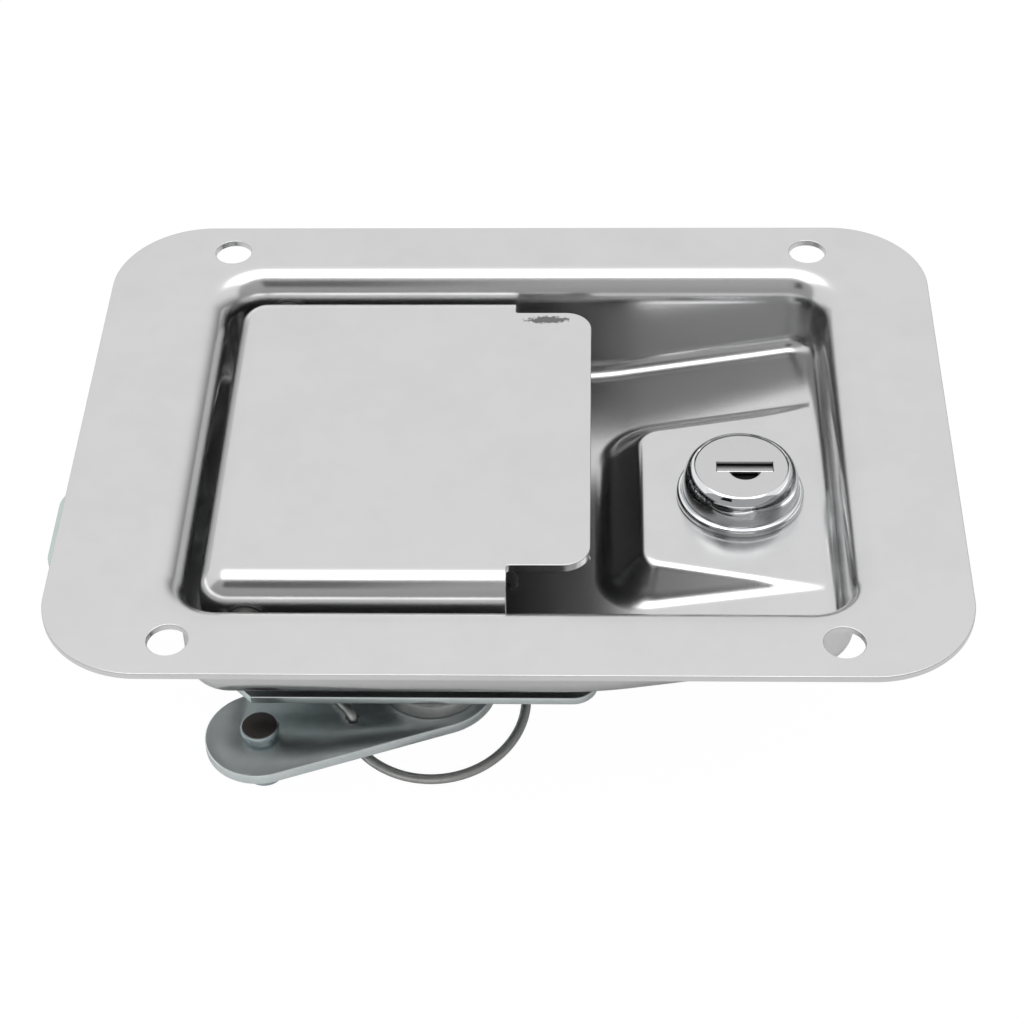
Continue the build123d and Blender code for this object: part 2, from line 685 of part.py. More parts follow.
# ==== Key lock ====
with BuildPart() as lock_housing:
    with BuildSketch(Plane.XZ):
        with BuildLine():
            bottom = Line((lock_x + plug_r + running_gap, lock_end_z), (lock_x + lock_body_r, lock_end_z))
            barrel = Line(bottom @ 1, (lock_x + lock_body_r, pad_z))
            seat = Line(barrel @ 1, (lock_x + lock_flange_r, pad_z))
            step = Line(seat @ 1, (lock_x + lock_flange_r, pad_z + lock_flange_thickness - 0.7))
            ledge = ThreePointArc(
                step @ 1,
                (lock_x + lock_flange_r - 0.2, pad_z + lock_flange_thickness - 0.2),
                (lock_x + lock_flange_r - 0.7, pad_z + lock_flange_thickness),
            )
            shoulder = Line(ledge @ 1, (lock_x + lock_dome_r, pad_z + lock_flange_thickness))
            dome = ThreePointArc(
                shoulder @ 1,
                (lock_x + lock_dome_r - 0.55, lock_face_z - 1.1),
                (lock_x + plug_r + running_gap + 0.45, lock_face_z),
            )
            rim = Line(dome @ 1, (lock_x + plug_r + running_gap, lock_face_z))
            Line(rim @ 1, bottom @ 0)
        make_face()
    revolve(axis=Axis((lock_x, 0, 0), (0, 0, 1)))
finish(lock_housing, "lock_housing")

with BuildPart() as lock_plug:
    with BuildSketch(Plane.XY.offset(plug_face_z)):
        with Locations((lock_x, 0)):
            Circle(plug_r)
    extrude(amount=lock_end_z - plug_square_sink - plug_face_z)
    chamfer(lock_plug.faces().sort_by(Axis.Z)[-1].edges(), length=plug_edge)
    with BuildSketch(Plane.XY.offset(lock_end_z - plug_square_sink)):
        with Locations((lock_x, 0)):
            Rectangle(cam_square, cam_square)
    extrude(amount=cam_bottom_z - lock_end_z + plug_square_sink)
    with BuildSketch(Plane.XY.offset(plug_face_z)):
        with Locations((keyway_x, (recess_front_y + recess_back_y) / 2)):
            Rectangle(2 * recess_half_width, recess_back_y - recess_front_y)
        with Locations((keyway_x, finger_well_y)):
            Circle(finger_well_r)
        with Locations((keyway_x, recess_back_y + finger_well_r)):
            Rectangle(2 * finger_well_r, 2 * finger_well_r, mode=Mode.SUBTRACT)
    extrude(amount=-recess_depth, mode=Mode.SUBTRACT)
    with BuildSketch(Plane.XY.offset(recess_floor_z)):
        with Locations((keyway_x, keyway_y)):
            Rectangle(2 * keyway_half_width, keyway_width)
    extrude(amount=-keyway_depth, mode=Mode.SUBTRACT)
    for wafer_top in wafer_tops:
        with BuildSketch(Plane.XY.offset(wafer_top + wafer_gap / 2)):
            with Locations((lock_x, keyway_y)):
                Rectangle(wafer_length + 2 * wafer_gap, wafer_width + 2 * wafer_gap)
        extrude(amount=-wafer_thickness - wafer_gap, mode=Mode.SUBTRACT)
    with BuildSketch(Plane.YZ.offset(keyway_x - shutter_pivot_half - wafer_gap)):
        with Locations((shutter_y, shutter_z)):
            Circle(shutter_pivot_r + shutter_pivot_gap)
    extrude(amount=2 * (shutter_pivot_half + wafer_gap), mode=Mode.SUBTRACT)
    with BuildSketch(Plane.XY.offset(cam_bottom_z)):
        with Locations((lock_x, 0)):
            Circle(cam_screw_r)
    extrude(amount=cam_screw_length, mode=Mode.SUBTRACT)
finish(lock_plug, "lock_plug")

# The dust shutter closes the keyway and folds down into it under the key.
with BuildPart() as lock_shutter:
    plate_front = keyway_front_y + shutter_edge_gap
    plate_half = keyway_half_width - shutter_edge_gap
    with BuildSketch(Plane.XY.offset(recess_floor_z)):
        with Locations((keyway_x, (plate_front + shutter_y) / 2)):
            Rectangle(2 * plate_half, shutter_y - plate_front)
    extrude(amount=-shutter_thickness)
    for half_length, radius in ((plate_half, shutter_barrel_r), (shutter_pivot_half, shutter_pivot_r)):
        with BuildSketch(Plane.YZ.offset(keyway_x - half_length)):
            with Locations((shutter_y, shutter_z)):
                Circle(radius)
        extrude(amount=2 * half_length)
finish(lock_shutter, "lock_shutter")

with BuildPart() as lock_wafers:
    for wafer_top in wafer_tops:
        with BuildSketch(Plane.XY.offset(wafer_top)):
            with Locations((lock_x, keyway_y)):
                Rectangle(wafer_length, wafer_width)
            with Locations((keyway_x, keyway_y)):
                Rectangle(2 * keyway_half_width, keyway_width, mode=Mode.SUBTRACT)
        extrude(amount=-wafer_thickness)
finish(lock_wafers, "lock_wafers")

with BuildPart() as lock_washer:
    with BuildSketch(Plane.XY.offset(pad_z - sheet)):
        with Locations((lock_x, 0)):
            Circle(lock_washer_r)
            Circle(lock_body_r + running_gap, mode=Mode.SUBTRACT)
    extrude(amount=-lock_washer_thickness)
finish(lock_washer, "lock_washer")

with BuildPart() as lock_nut:
    with BuildSketch(Plane.XY.offset(pad_z - sheet - lock_washer_thickness)):
        with Locations((lock_x, 0)):
            RegularPolygon(lock_nut_flats / 2, 6, major_radius=False)
            Circle(lock_body_r + running_gap, mode=Mode.SUBTRACT)
    extrude(amount=-lock_nut_thickness)
finish(lock_nut, "lock_nut")

with BuildPart() as lock_cam:
    with BuildSketch(Plane.XY.offset(cam_top_z)):
        with Locations((lock_x, 0)):
            Circle(cam_hub_r)
        with Locations((lock_x, cam_reach - cam_end_r)):
            Circle(cam_end_r)
        make_hull()
        with Locations((lock_x, 0)):
            Rectangle(cam_square, cam_square, mode=Mode.SUBTRACT)
    extrude(amount=-cam_thickness)
finish(lock_cam, "lock_cam")

with BuildPart() as cam_screw:
    with BuildSketch(Plane.XY.offset(cam_bottom_z)):
        with Locations((lock_x, 0)):
            Circle(cam_screw_r)
    extrude(amount=cam_screw_length - wafer_gap)
    with BuildSketch(Plane.XY.offset(cam_bottom_z)):
        with Locations((lock_x, 0)):
            Circle(cam_screw_head_r)
    extrude(amount=-cam_screw_head)
    fillet(cam_screw.faces().sort_by(Axis.Z)[0].edges(), radius=cam_screw_head * 0.4)
    with BuildSketch(Plane.XY.offset(cam_bottom_z - cam_screw_head)):
        with Locations((lock_x, 0)):
            Rectangle(2 * cam_screw_head_r, screw_cross_width)
            Rectangle(screw_cross_width, 2 * (cam_screw_head_r - screw_cross_inset))
    extrude(amount=screw_cross_depth, mode=Mode.SUBTRACT)
finish(cam_screw, "cam_screw")
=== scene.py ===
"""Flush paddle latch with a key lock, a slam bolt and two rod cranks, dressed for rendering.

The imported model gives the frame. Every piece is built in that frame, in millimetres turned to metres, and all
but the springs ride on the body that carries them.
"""

import logging
import math
from dataclasses import dataclass, field
from enum import Enum
from typing import Any, Iterable, Sequence

import bmesh
import bpy
import numpy as np
from mathutils import Matrix, Vector
from mathutils.geometry import delaunay_2d_cdt


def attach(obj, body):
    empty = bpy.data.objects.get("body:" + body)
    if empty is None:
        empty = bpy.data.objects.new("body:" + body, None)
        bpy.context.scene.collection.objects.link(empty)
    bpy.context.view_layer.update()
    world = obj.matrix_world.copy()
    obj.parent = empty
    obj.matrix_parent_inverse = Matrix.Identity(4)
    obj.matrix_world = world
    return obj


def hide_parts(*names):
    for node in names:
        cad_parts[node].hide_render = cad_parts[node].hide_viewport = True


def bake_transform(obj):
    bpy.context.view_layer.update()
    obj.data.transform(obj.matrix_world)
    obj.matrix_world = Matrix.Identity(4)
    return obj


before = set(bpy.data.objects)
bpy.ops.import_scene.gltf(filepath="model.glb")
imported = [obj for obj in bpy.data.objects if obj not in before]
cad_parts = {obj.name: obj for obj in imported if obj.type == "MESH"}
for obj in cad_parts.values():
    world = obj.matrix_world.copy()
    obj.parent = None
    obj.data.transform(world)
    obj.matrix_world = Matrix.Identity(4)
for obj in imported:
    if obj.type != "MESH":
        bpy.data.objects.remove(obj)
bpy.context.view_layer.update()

MM = 0.001
SHARP_ANGLE = math.radians(32.0)
WIRE_SIDES = 20
SMOOTH = {"interpolation_type": "SMOOTHSTEP"}
log = logging.getLogger("paddle_latch")

Array = np.ndarray
Obj = bpy.types.Object
Mat = bpy.types.Material
Mesh = bpy.types.Mesh
Tree = bpy.types.NodeTree
Node = bpy.types.Node
Socket = bpy.types.NodeSocket


# --- Small tools shared by every sub-assembly ---


def linear(hex_colour: str) -> tuple[float, float, float, float]:
    """Turn an sRGB hex colour into the linear colour that the shaders use.

    Args:
        hex_colour: The colour as six hex digits.

    Returns:
        Red, green, blue and alpha, linear, from 0 to 1.
    """
    parts = [int(hex_colour[i : i + 2], 16) / 255 for i in (0, 2, 4)]
    red, green, blue = (c / 12.92 if c <= 0.04045 else ((c + 0.055) / 1.055) ** 2.4 for c in parts)
    return red, green, blue, 1.0


def add_node(
    tree: Tree,
    kind: str,
    settings: dict[str, Any] | None = None,
    inputs: dict[Any, Any] | None = None,
) -> Node:
    """Add a node with its settings and its links.

    Args:
        tree: The node tree that gets the node.
        kind: The node's type name.
        settings: Attribute names and their values.
        inputs: Socket names or numbers, each with a value or an output socket to link from.

    Returns:
        The new node.
    """
    node = tree.nodes.new(kind)
    for name, value in (settings or {}).items():
        setattr(node, name, value)
    for key, value in (inputs or {}).items():
        if isinstance(value, Socket):
            tree.links.new(value, node.inputs[key])
        else:
            node.inputs[key].default_value = value
    return node


def unit(vectors: Array) -> Array:
    """Scale vectors, one a row, to length one."""
    return vectors / np.maximum(np.linalg.norm(vectors, axis=-1, keepdims=True), 1e-12)


def link_piece(name: str, mesh: Mesh, material: Mat, body: str, nodes: Iterable[str]) -> Obj:
    """Put a finished mesh in the scene as a piece of the latch.

    Args:
        name: The piece's name.
        mesh: Its mesh, in place.
        material: Its finish.
        body: The body that it rides on, or an empty text where it rides on none.
        nodes: The CAD nodes that it stands for.

    Returns:
        The piece's object.
    """
    piece = bpy.data.objects.new(name, mesh)
    bpy.context.scene.collection.objects.link(piece)
    mesh.materials.clear()
    mesh.materials.append(material)
    if body:
        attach(piece, body)
    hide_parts(*nodes)
    log.info("%s: %d faces, rides on %s", name, len(mesh.polygons), body or "two bodies")
    return piece


@dataclass
class Surface:
    """Points, their normals and the faces between them, in millimetres."""

    points: list[Array] = field(default_factory=list)
    normals: list[Array] = field(default_factory=list)
    faces: list[tuple[int, ...]] = field(default_factory=list)
    count: int = 0

    def add(self, points: Array, normals: Array, faces: Iterable[Sequence[int]]) -> int:
        """Add points with faces that count from the first of them.

        Args:
            points: The new points, one a row.
            normals: Their normals.
            faces: Faces as indices into the new points.

        Returns:
            The index of the first new point.
        """
        start = self.count
        self.points.append(points)
        self.normals.append(normals)
        self.faces.extend(tuple(start + i for i in face) for face in faces)
        self.count += len(points)
        return start

    def merged(self, gap: float = 1e-4) -> "Surface":
        """Join points that stand at the same place.

        Args:
            gap: The grid in millimetres on which two points count as one.

        Returns:
            The surface with each place held by one point.
        """
        points, normals = np.vstack(self.points), np.vstack(self.normals)
        keys = np.round(points / gap).astype(np.int64)
        _, first, back = np.unique(keys, axis=0, return_index=True, return_inverse=True)
        back = back.ravel()
        total = np.zeros((len(first), 3))
        np.add.at(total, back, normals)
        faces = []
        for face in self.faces:
            ring = [int(back[i]) for i in face]
            ring = [a for a, b in zip(ring, ring[1:] + ring[:1]) if a != b]
            if len(ring) > 2:
                faces.append(tuple(ring))
        return Surface([points[first]], [unit(total)], faces, len(first))


def close_sheet(surface: Surface, thickness: float | Array, ease: float) -> Surface:
    """Give an open surface a thickness and an eased rim.

    Args:
        surface: The face side, with its points merged.
        thickness: How far the back lies behind each point.
        ease: The width of the eased edge at the rim.

    Returns:
        The closed sheet.
    """
    points, normals = surface.points[0], surface.normals[0]
    depth = np.broadcast_to(np.asarray(thickness, float), (len(points),))[:, None]
    used: dict[tuple[int, int], bool] = {}
    for face in surface.faces:
        for a, b in zip(face, face[1:] + face[:1]):
            used[(a, b)] = True
    rim = [(a, b) for a, b in used if (b, a) not in used]
    outward = np.zeros_like(points)
    for a, b in rim:
        way = np.cross(points[b] - points[a], normals[a] + normals[b])
        way /= max(float(np.linalg.norm(way)), 1e-12)
        outward[a] += way
        outward[b] += way
    on_rim = np.linalg.norm(outward, axis=1) > 1e-6
    outward[on_rim] = unit(outward[on_rim])
    pulled = points - ease * outward
    edge = np.nonzero(on_rim)[0]
    place = {int(v): i for i, v in enumerate(edge)}
    closed = Surface()
    closed.add(pulled, normals, surface.faces)
    back = closed.add(pulled - depth * normals, -normals, [face[::-1] for face in surface.faces])
    upper = closed.add(points[edge] - ease * normals[edge], outward[edge], [])
    lower = closed.add(points[edge] - (depth[edge] - ease) * normals[edge], outward[edge], [])
    for a, b in rim:
        ia, ib = place[a], place[b]
        closed.faces.append((b, a, upper + ia, upper + ib))
        closed.faces.append((upper + ib, upper + ia, lower + ia, lower + ib))
        closed.faces.append((lower + ib, lower + ia, back + a, back + b))
    return closed


def mesh_from_surface(name: str, surface: Surface) -> Mesh:
    """Make a Blender mesh that keeps the surface's own normals."""
    mesh = bpy.data.meshes.new(name)
    mesh.from_pydata((np.vstack(surface.points) * MM).tolist(), [], surface.faces)
    mesh.shade_smooth()
    mesh.normals_split_custom_set_from_vertices(np.vstack(surface.normals).tolist())
    return mesh


def strip_faces(rows: int, columns: int, closed: bool) -> list[tuple[int, int, int, int]]:
    """Quads between rows of points, each row running along the columns.

    Args:
        rows: How many rows of points there are.
        columns: How many points a row has.
        closed: Whether each row joins its own start.

    Returns:
        The quads, as indices counted row by row.
    """
    faces = []
    for j in range(rows - 1):
        for i in range(columns if closed else columns - 1):
            k = (i + 1) % columns
            faces.append((j * columns + i, j * columns + k, (j + 1) * columns + k, (j + 1) * columns + i))
    return faces


def grid_normals(grid: Array, closed: bool, facing: int) -> Array:
    """Normals of a grid of points, from its own slopes.

    Args:
        grid: The points, rows by columns by three.
        closed: Whether each row joins its own start.
        facing: 1 or -1, which side the normals show.

    Returns:
        The normals, one a row, in the grid's order.
    """
    across = np.gradient(grid, axis=0)
    if closed:
        along = np.roll(grid, -1, axis=1) - np.roll(grid, 1, axis=1)
    else:
        along = np.gradient(grid, axis=1)
    return unit(np.cross(along, across).reshape(-1, 3)) * facing


def inside_loop(places: Array, loop: Array) -> Array:
    """Which places lie inside a closed outline.

    Args:
        places: The places to test, one a row.
        loop: The outline's corners.

    Returns:
        One True or False for each place.
    """
    x, y = places[:, 0], places[:, 1]
    hit = np.zeros(len(places), bool)
    for (x1, y1), (x2, y2) in zip(loop, np.roll(loop, -1, axis=0)):
        if y1 == y2:
            continue
        crosses = (y1 > y) != (y2 > y)
        hit ^= crosses & (x < (x2 - x1) * (y - y1) / (y2 - y1) + x1)
    return hit


def fill_flat(outline: Array, holes: Sequence[Array], inner: Array) -> tuple[Array, list[tuple[int, ...]]]:
    """Fill an outline that has holes with triangles that use the given inner points.

    Args:
        outline: The outer loop's points.
        holes: The loops that stay open.
        inner: Free points inside, which may be none.

    Returns:
        The points and the triangles, which run anticlockwise.
    """
    loops = [outline, *holes]
    edges, start = [], 0
    for loop in loops:
        n = len(loop)
        edges += [(start + i, start + (i + 1) % n) for i in range(n)]
        start += n
    places = np.vstack([*loops, inner]) if len(inner) else np.vstack(loops)
    _, _, faces, origins, *_ = delaunay_2d_cdt([Vector(p) for p in places], edges, [], 0, 1e-7)
    coords = places[[origin[0] for origin in origins]]
    triangles = np.array([tuple(f) for f in faces])
    middles = coords[triangles].mean(axis=1)
    keep = inside_loop(middles, outline)
    for hole in holes:
        keep &= ~inside_loop(middles, hole)
    kept = []
    for a, b, c in triangles[keep]:
        (ax, ay), (bx, by), (cx, cy) = coords[a], coords[b], coords[c]
        turn = (bx - ax) * (cy - ay) - (by - ay) * (cx - ax)
        kept.append((int(a), int(b), int(c)) if turn > 0 else (int(a), int(c), int(b)))
    return coords, kept


def circle(x: float, y: float, r: float, steps: int = 64) -> Array:
    """Points round a circle, anticlockwise."""
    angles = np.arange(steps) * 2 * math.pi / steps
    return np.column_stack([x + r * np.cos(angles), y + r * np.sin(angles)])


def arc(x: float, y: float, r: float, start: float, sweep: float, steps: int) -> list[tuple[float, float]]:
    """Points along an arc, with both its ends.

    Args:
        x: Its centre along X.
        y: Its centre along Y.
        r: Its radius.
        start: Where it starts, in degrees.
        sweep: How far it turns, in degrees.
        steps: How many steps it takes.

    Returns:
        The points.
    """
    angles = [math.radians(start + sweep * i / steps) for i in range(steps + 1)]
    return [(x + r * math.cos(a), y + r * math.sin(a)) for a in angles]


def at_height(loop: Array, z: float) -> Array:
    """Lift flat points to a height."""
    return np.column_stack([loop, np.full(len(loop), z)])


def rounded_box(
    x: float, y: float, length: float, width: float, r: float, step: float, corner_steps: int
) -> tuple[Array, Array]:
    """Walk round a rectangle with rounded corners, anticlockwise.

    Args:
        x: The middle along X.
        y: The middle along Y.
        length: The size along X.
        width: The size along Y.
        r: The corners' radius.
        step: The spacing of points on the straight sides.
        corner_steps: How many steps each corner takes.

    Returns:
        The points and their outward directions.
    """
    points, outward = [], []
    hx, hy = length / 2 - r, width / 2 - r
    corners = [(hx, -hy, -90), (hx, hy, 0), (-hx, hy, 90), (-hx, -hy, 180)]
    for k, (cx, cy, start) in enumerate(corners):
        points += arc(x + cx, y + cy, r, start, 90, corner_steps)
        outward += arc(0.0, 0.0, 1.0, start, 90, corner_steps)
        nx, ny, _ = corners[(k + 1) % 4]
        run = math.hypot(nx - cx, ny - cy)
        n = max(int(run / step), 1)
        last_point, last_way = points[-1], outward[-1]
        for i in range(1, n):
            points.append((last_point[0] + (nx - cx) * i / n, last_point[1] + (ny - cy) * i / n))
            outward.append(last_way)
    return np.array(points), np.array(outward)


def hull_of_circles(c1: tuple[float, float], r1: float, c2: tuple[float, float], r2: float) -> Array:
    """The outline round two circles of different sizes, anticlockwise.

    Args:
        c1: The first circle's centre.
        r1: The first circle's radius.
        c2: The second circle's centre.
        r2: The second circle's radius.

    Returns:
        The outline's points.
    """
    dx, dy = c2[0] - c1[0], c2[1] - c1[1]
    way = math.atan2(dy, dx)
    tilt = math.acos((r1 - r2) / math.hypot(dx, dy))
    points = []
    for (cx, cy), r, start, end in (
        (c2, r2, way - tilt, way + tilt),
        (c1, r1, way + tilt, way - tilt + 2 * math.pi),
    ):
        steps = max(int((end - start) / math.radians(5)), 8)
        for i in range(steps + 1):
            angle = start + (end - start) * i / steps
            points.append((cx + r * math.cos(angle), cy + r * math.sin(angle)))
    return np.array(points)


def mark_sharp(mesh: Mesh, angle: float = SHARP_ANGLE) -> None:
    """Shade a mesh smooth, with its edges over an angle kept sharp."""
    mesh.shade_smooth()
    mesh.set_sharp_from_angle(angle=angle)


def seal(shape: bmesh.types.BMesh, name: str, angle: float = SHARP_ANGLE) -> Mesh:
    """Turn a closed shape's faces outward and make it a mesh.

    Args:
        shape: The shape, which is used up.
        name: The mesh's name.
        angle: The turn past which an edge stays sharp.

    Returns:
        The mesh, in place.
    """
    bmesh.ops.recalc_face_normals(shape, faces=shape.faces)
    mesh = bpy.data.meshes.new(name)
    shape.to_mesh(mesh)
    shape.free()
    mark_sharp(mesh, angle)
    return mesh


def settle(name: str, data: bpy.types.ID, tree: Tree | None = None, **inputs: Any) -> Mesh:
    """Make a plain mesh of a curve, or of what a geometry node tree makes of some data.

    Args:
        name: The mesh's name.
        data: The curve or mesh to start from.
        tree: The tree to run on it.
        inputs: Values for the tree's named inputs, with _ for each space.

    Returns:
        The mesh.
    """
    holder = bpy.data.objects.new(name, data)
    bpy.context.scene.collection.objects.link(holder)
    if tree:
        modifier = holder.modifiers.new(tree.name, "NODES")
        modifier.node_group = tree
        sockets = {item.name: item.identifier for item in tree.interface.items_tree}
        for label, value in inputs.items():
            modifier[sockets[label.replace("_", " ")]] = value
    mesh = bpy.data.meshes.new_from_object(holder.evaluated_get(bpy.context.evaluated_depsgraph_get()))
    bpy.data.objects.remove(holder)
    return mesh


def poly_curve(name: str, kind: str, loops: Iterable[Iterable[Sequence[float]]]) -> bpy.types.Curve:
    """Draw straight-sided curves.

    Args:
        name: The curve data's name.
        kind: 2D for closed outlines or 3D for open paths.
        loops: Each curve's points in millimetres.

    Returns:
        The curve data.
    """
    curve = bpy.data.curves.new(name, "CURVE")
    curve.dimensions = kind
    for loop in loops:
        spline = curve.splines.new("POLY")
        places = list(loop)
        spline.points.add(len(places) - 1)
        for point, place in zip(spline.points, places):
            point.co = (*(c * MM for c in place), *([0.0] * (3 - len(place))), 1.0)
        spline.use_cyclic_u = kind == "2D"
    return curve


def plate_mesh(name: str, loops: Sequence[Array], top: float, thickness: float, ease: float) -> Mesh:
    """Blank a flat plate with eased edges.

    Args:
        name: The mesh's name.
        loops: The outline, then the holes, in millimetres.
        top: The height of its upper face.
        thickness: The plate's thickness.
        ease: The radius of its edges.

    Returns:
        The plate's mesh, in place.
    """
    curve = poly_curve(name, "2D", loops)
    curve.fill_mode = "BOTH"
    curve.extrude = (thickness / 2 - ease) * MM
    curve.bevel_depth = ease * MM
    curve.bevel_resolution = 2
    curve.offset = -ease * MM
    shape = bmesh.new()
    shape.from_mesh(settle(name, curve))
    bmesh.ops.translate(shape, verts=shape.verts, vec=(0.0, 0.0, (top - thickness / 2) * MM))
    bmesh.ops.remove_doubles(shape, verts=shape.verts, dist=1e-6)
    return seal(shape, name)


def solid_mesh(name: str, surface: Surface) -> Mesh:
    """Join a closed set of faces into a mesh with sharp edges where they turn.

    Args:
        name: The mesh's name.
        surface: The faces; their winding and normals don't matter.

    Returns:
        The solid's mesh, in place.
    """
    joined = surface.merged()
    loose = bpy.data.meshes.new(name)
    loose.from_pydata((joined.points[0] * MM).tolist(), [], joined.faces)
    shape = bmesh.new()
    shape.from_mesh(loose)
    return seal(shape, name)


def lathe_mesh(name: str, profile: Sequence[tuple[float, float]], x: float, y: float, steps: int = 96) -> Mesh:
    """Turn a closed profile about a standing axis.

    Args:
        name: The mesh's name.
        profile: Radius and height pairs, going round the section.
        x: The axis along X.
        y: The axis along Y.
        steps: How many steps the turn takes.

    Returns:
        The turned mesh, in place.
    """
    turned = bmesh.new()
    rings = []
    for r, z in profile:
        if r < 1e-6:
            rings.append([turned.verts.new((x * MM, y * MM, z * MM))])
            continue
        rings.append([turned.verts.new((px * MM, py * MM, z * MM)) for px, py in circle(x, y, r, steps)])
    for a, b in zip(rings, rings[1:] + rings[:1]):
        for i in range(steps):
            k = (i + 1) % steps
            ring = [a[i % len(a)], a[k % len(a)], b[k % len(b)], b[i % len(b)]]
            ring = [v for n, v in enumerate(ring) if v not in ring[:n]]
            if len(ring) > 2:
                turned.faces.new(ring)
    return seal(turned, name)


def eased_copy(node: str, width: float) -> Mesh:
    """Copy a CAD node's mesh, merge it and ease its edges.

    Args:
        node: The CAD node's name.
        width: How wide the eased edge is, in millimetres.

    Returns:
        The eased mesh, in place.
    """
    shape = bmesh.new()
    shape.from_mesh(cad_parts[node].data)
    bmesh.ops.remove_doubles(shape, verts=shape.verts, dist=2e-6)
    flat_turn = math.radians(0.6)
    bmesh.ops.dissolve_limit(
        shape, angle_limit=flat_turn, verts=shape.verts, edges=shape.edges, delimit={"NORMAL"}
    )
    sharp = [e for e in shape.edges if len(e.link_faces) == 2 and e.calc_face_angle() > SHARP_ANGLE]
    if width > 0:
        bevel = {"offset": width * MM, "segments": 2, "profile": 0.5, "clamp_overlap": True}
        bmesh.ops.bevel(shape, geom=sharp, affect="EDGES", miter_outer="ARC", **bevel)
    return seal(shape, node + "_eased", math.radians(46))


# --- Finishes ---


def blend_input(tree: Tree, socket: Socket, mask: Socket, value: float | tuple[float, float, float, float]) -> None:
    """Put a mix in front of a shader's socket, which turns to a value where the mask is one.

    Args:
        tree: The material's tree.
        socket: The shader's socket, which has a link already.
        mask: The mask's socket.
        value: The number or colour that the mask brings in.
    """
    kind = "FLOAT" if isinstance(value, float) else "RGBA"
    before = socket.links[0].from_socket
    mixed = add_node(tree, "ShaderNodeMix", {"data_type": kind}, {"Factor": mask, "A": before, "B": value})
    tree.links.new(mixed.outputs["Result"], socket)


@dataclass(frozen=True)
class Finish:
    """What every metal finish here shares: a colour pair, a gloss and a fine texture."""

    name: str
    light: str
    dark: str
    gloss: float
    gloss_spread: float

    def start(self) -> tuple[Mat, Tree, Node, Socket]:
        """Make the material with its shader and its pattern coordinates in millimetres.

        Returns:
            The material, its tree, its shader and the coordinates' socket.
        """
        material = bpy.data.materials.new(self.name)
        material.use_nodes = True
        tree = material.node_tree
        shader = tree.nodes["Principled BSDF"]
        shader.inputs["Metallic"].default_value = 1.0
        place = add_node(tree, "ShaderNodeTexCoord")
        scaled = add_node(
            tree, "ShaderNodeMapping", None, {"Vector": place.outputs["Object"], "Scale": (1000.0, 1000.0, 1000.0)}
        )
        return material, tree, shader, scaled.outputs["Vector"]

    def coat(self, tree: Tree, shader: Node, tone: Socket, wear: Socket, spread: tuple[float, float]) -> None:
        """Give the shader the finish's two colours and its range of gloss.

        Args:
            tree: The material's tree.
            shader: The metal's shader.
            tone: The pattern that goes from the light colour to the dark one.
            wear: The pattern that goes from the gloss to its dullest.
            spread: The two values of the wear between which the gloss changes.
        """
        colours = {"Factor": tone, "A": linear(self.light), "B": linear(self.dark)}
        tint = add_node(tree, "ShaderNodeMix", {"data_type": "RGBA"}, colours)
        tree.links.new(tint.outputs["Result"], shader.inputs["Base Color"])
        span = {"From Min": spread[0], "From Max": spread[1]}
        gloss = {"To Min": self.gloss, "To Max": self.gloss + self.gloss_spread}
        rough = add_node(tree, "ShaderNodeMapRange", None, {"Value": wear, **span, **gloss})
        tree.links.new(rough.outputs["Result"], shader.inputs["Roughness"])


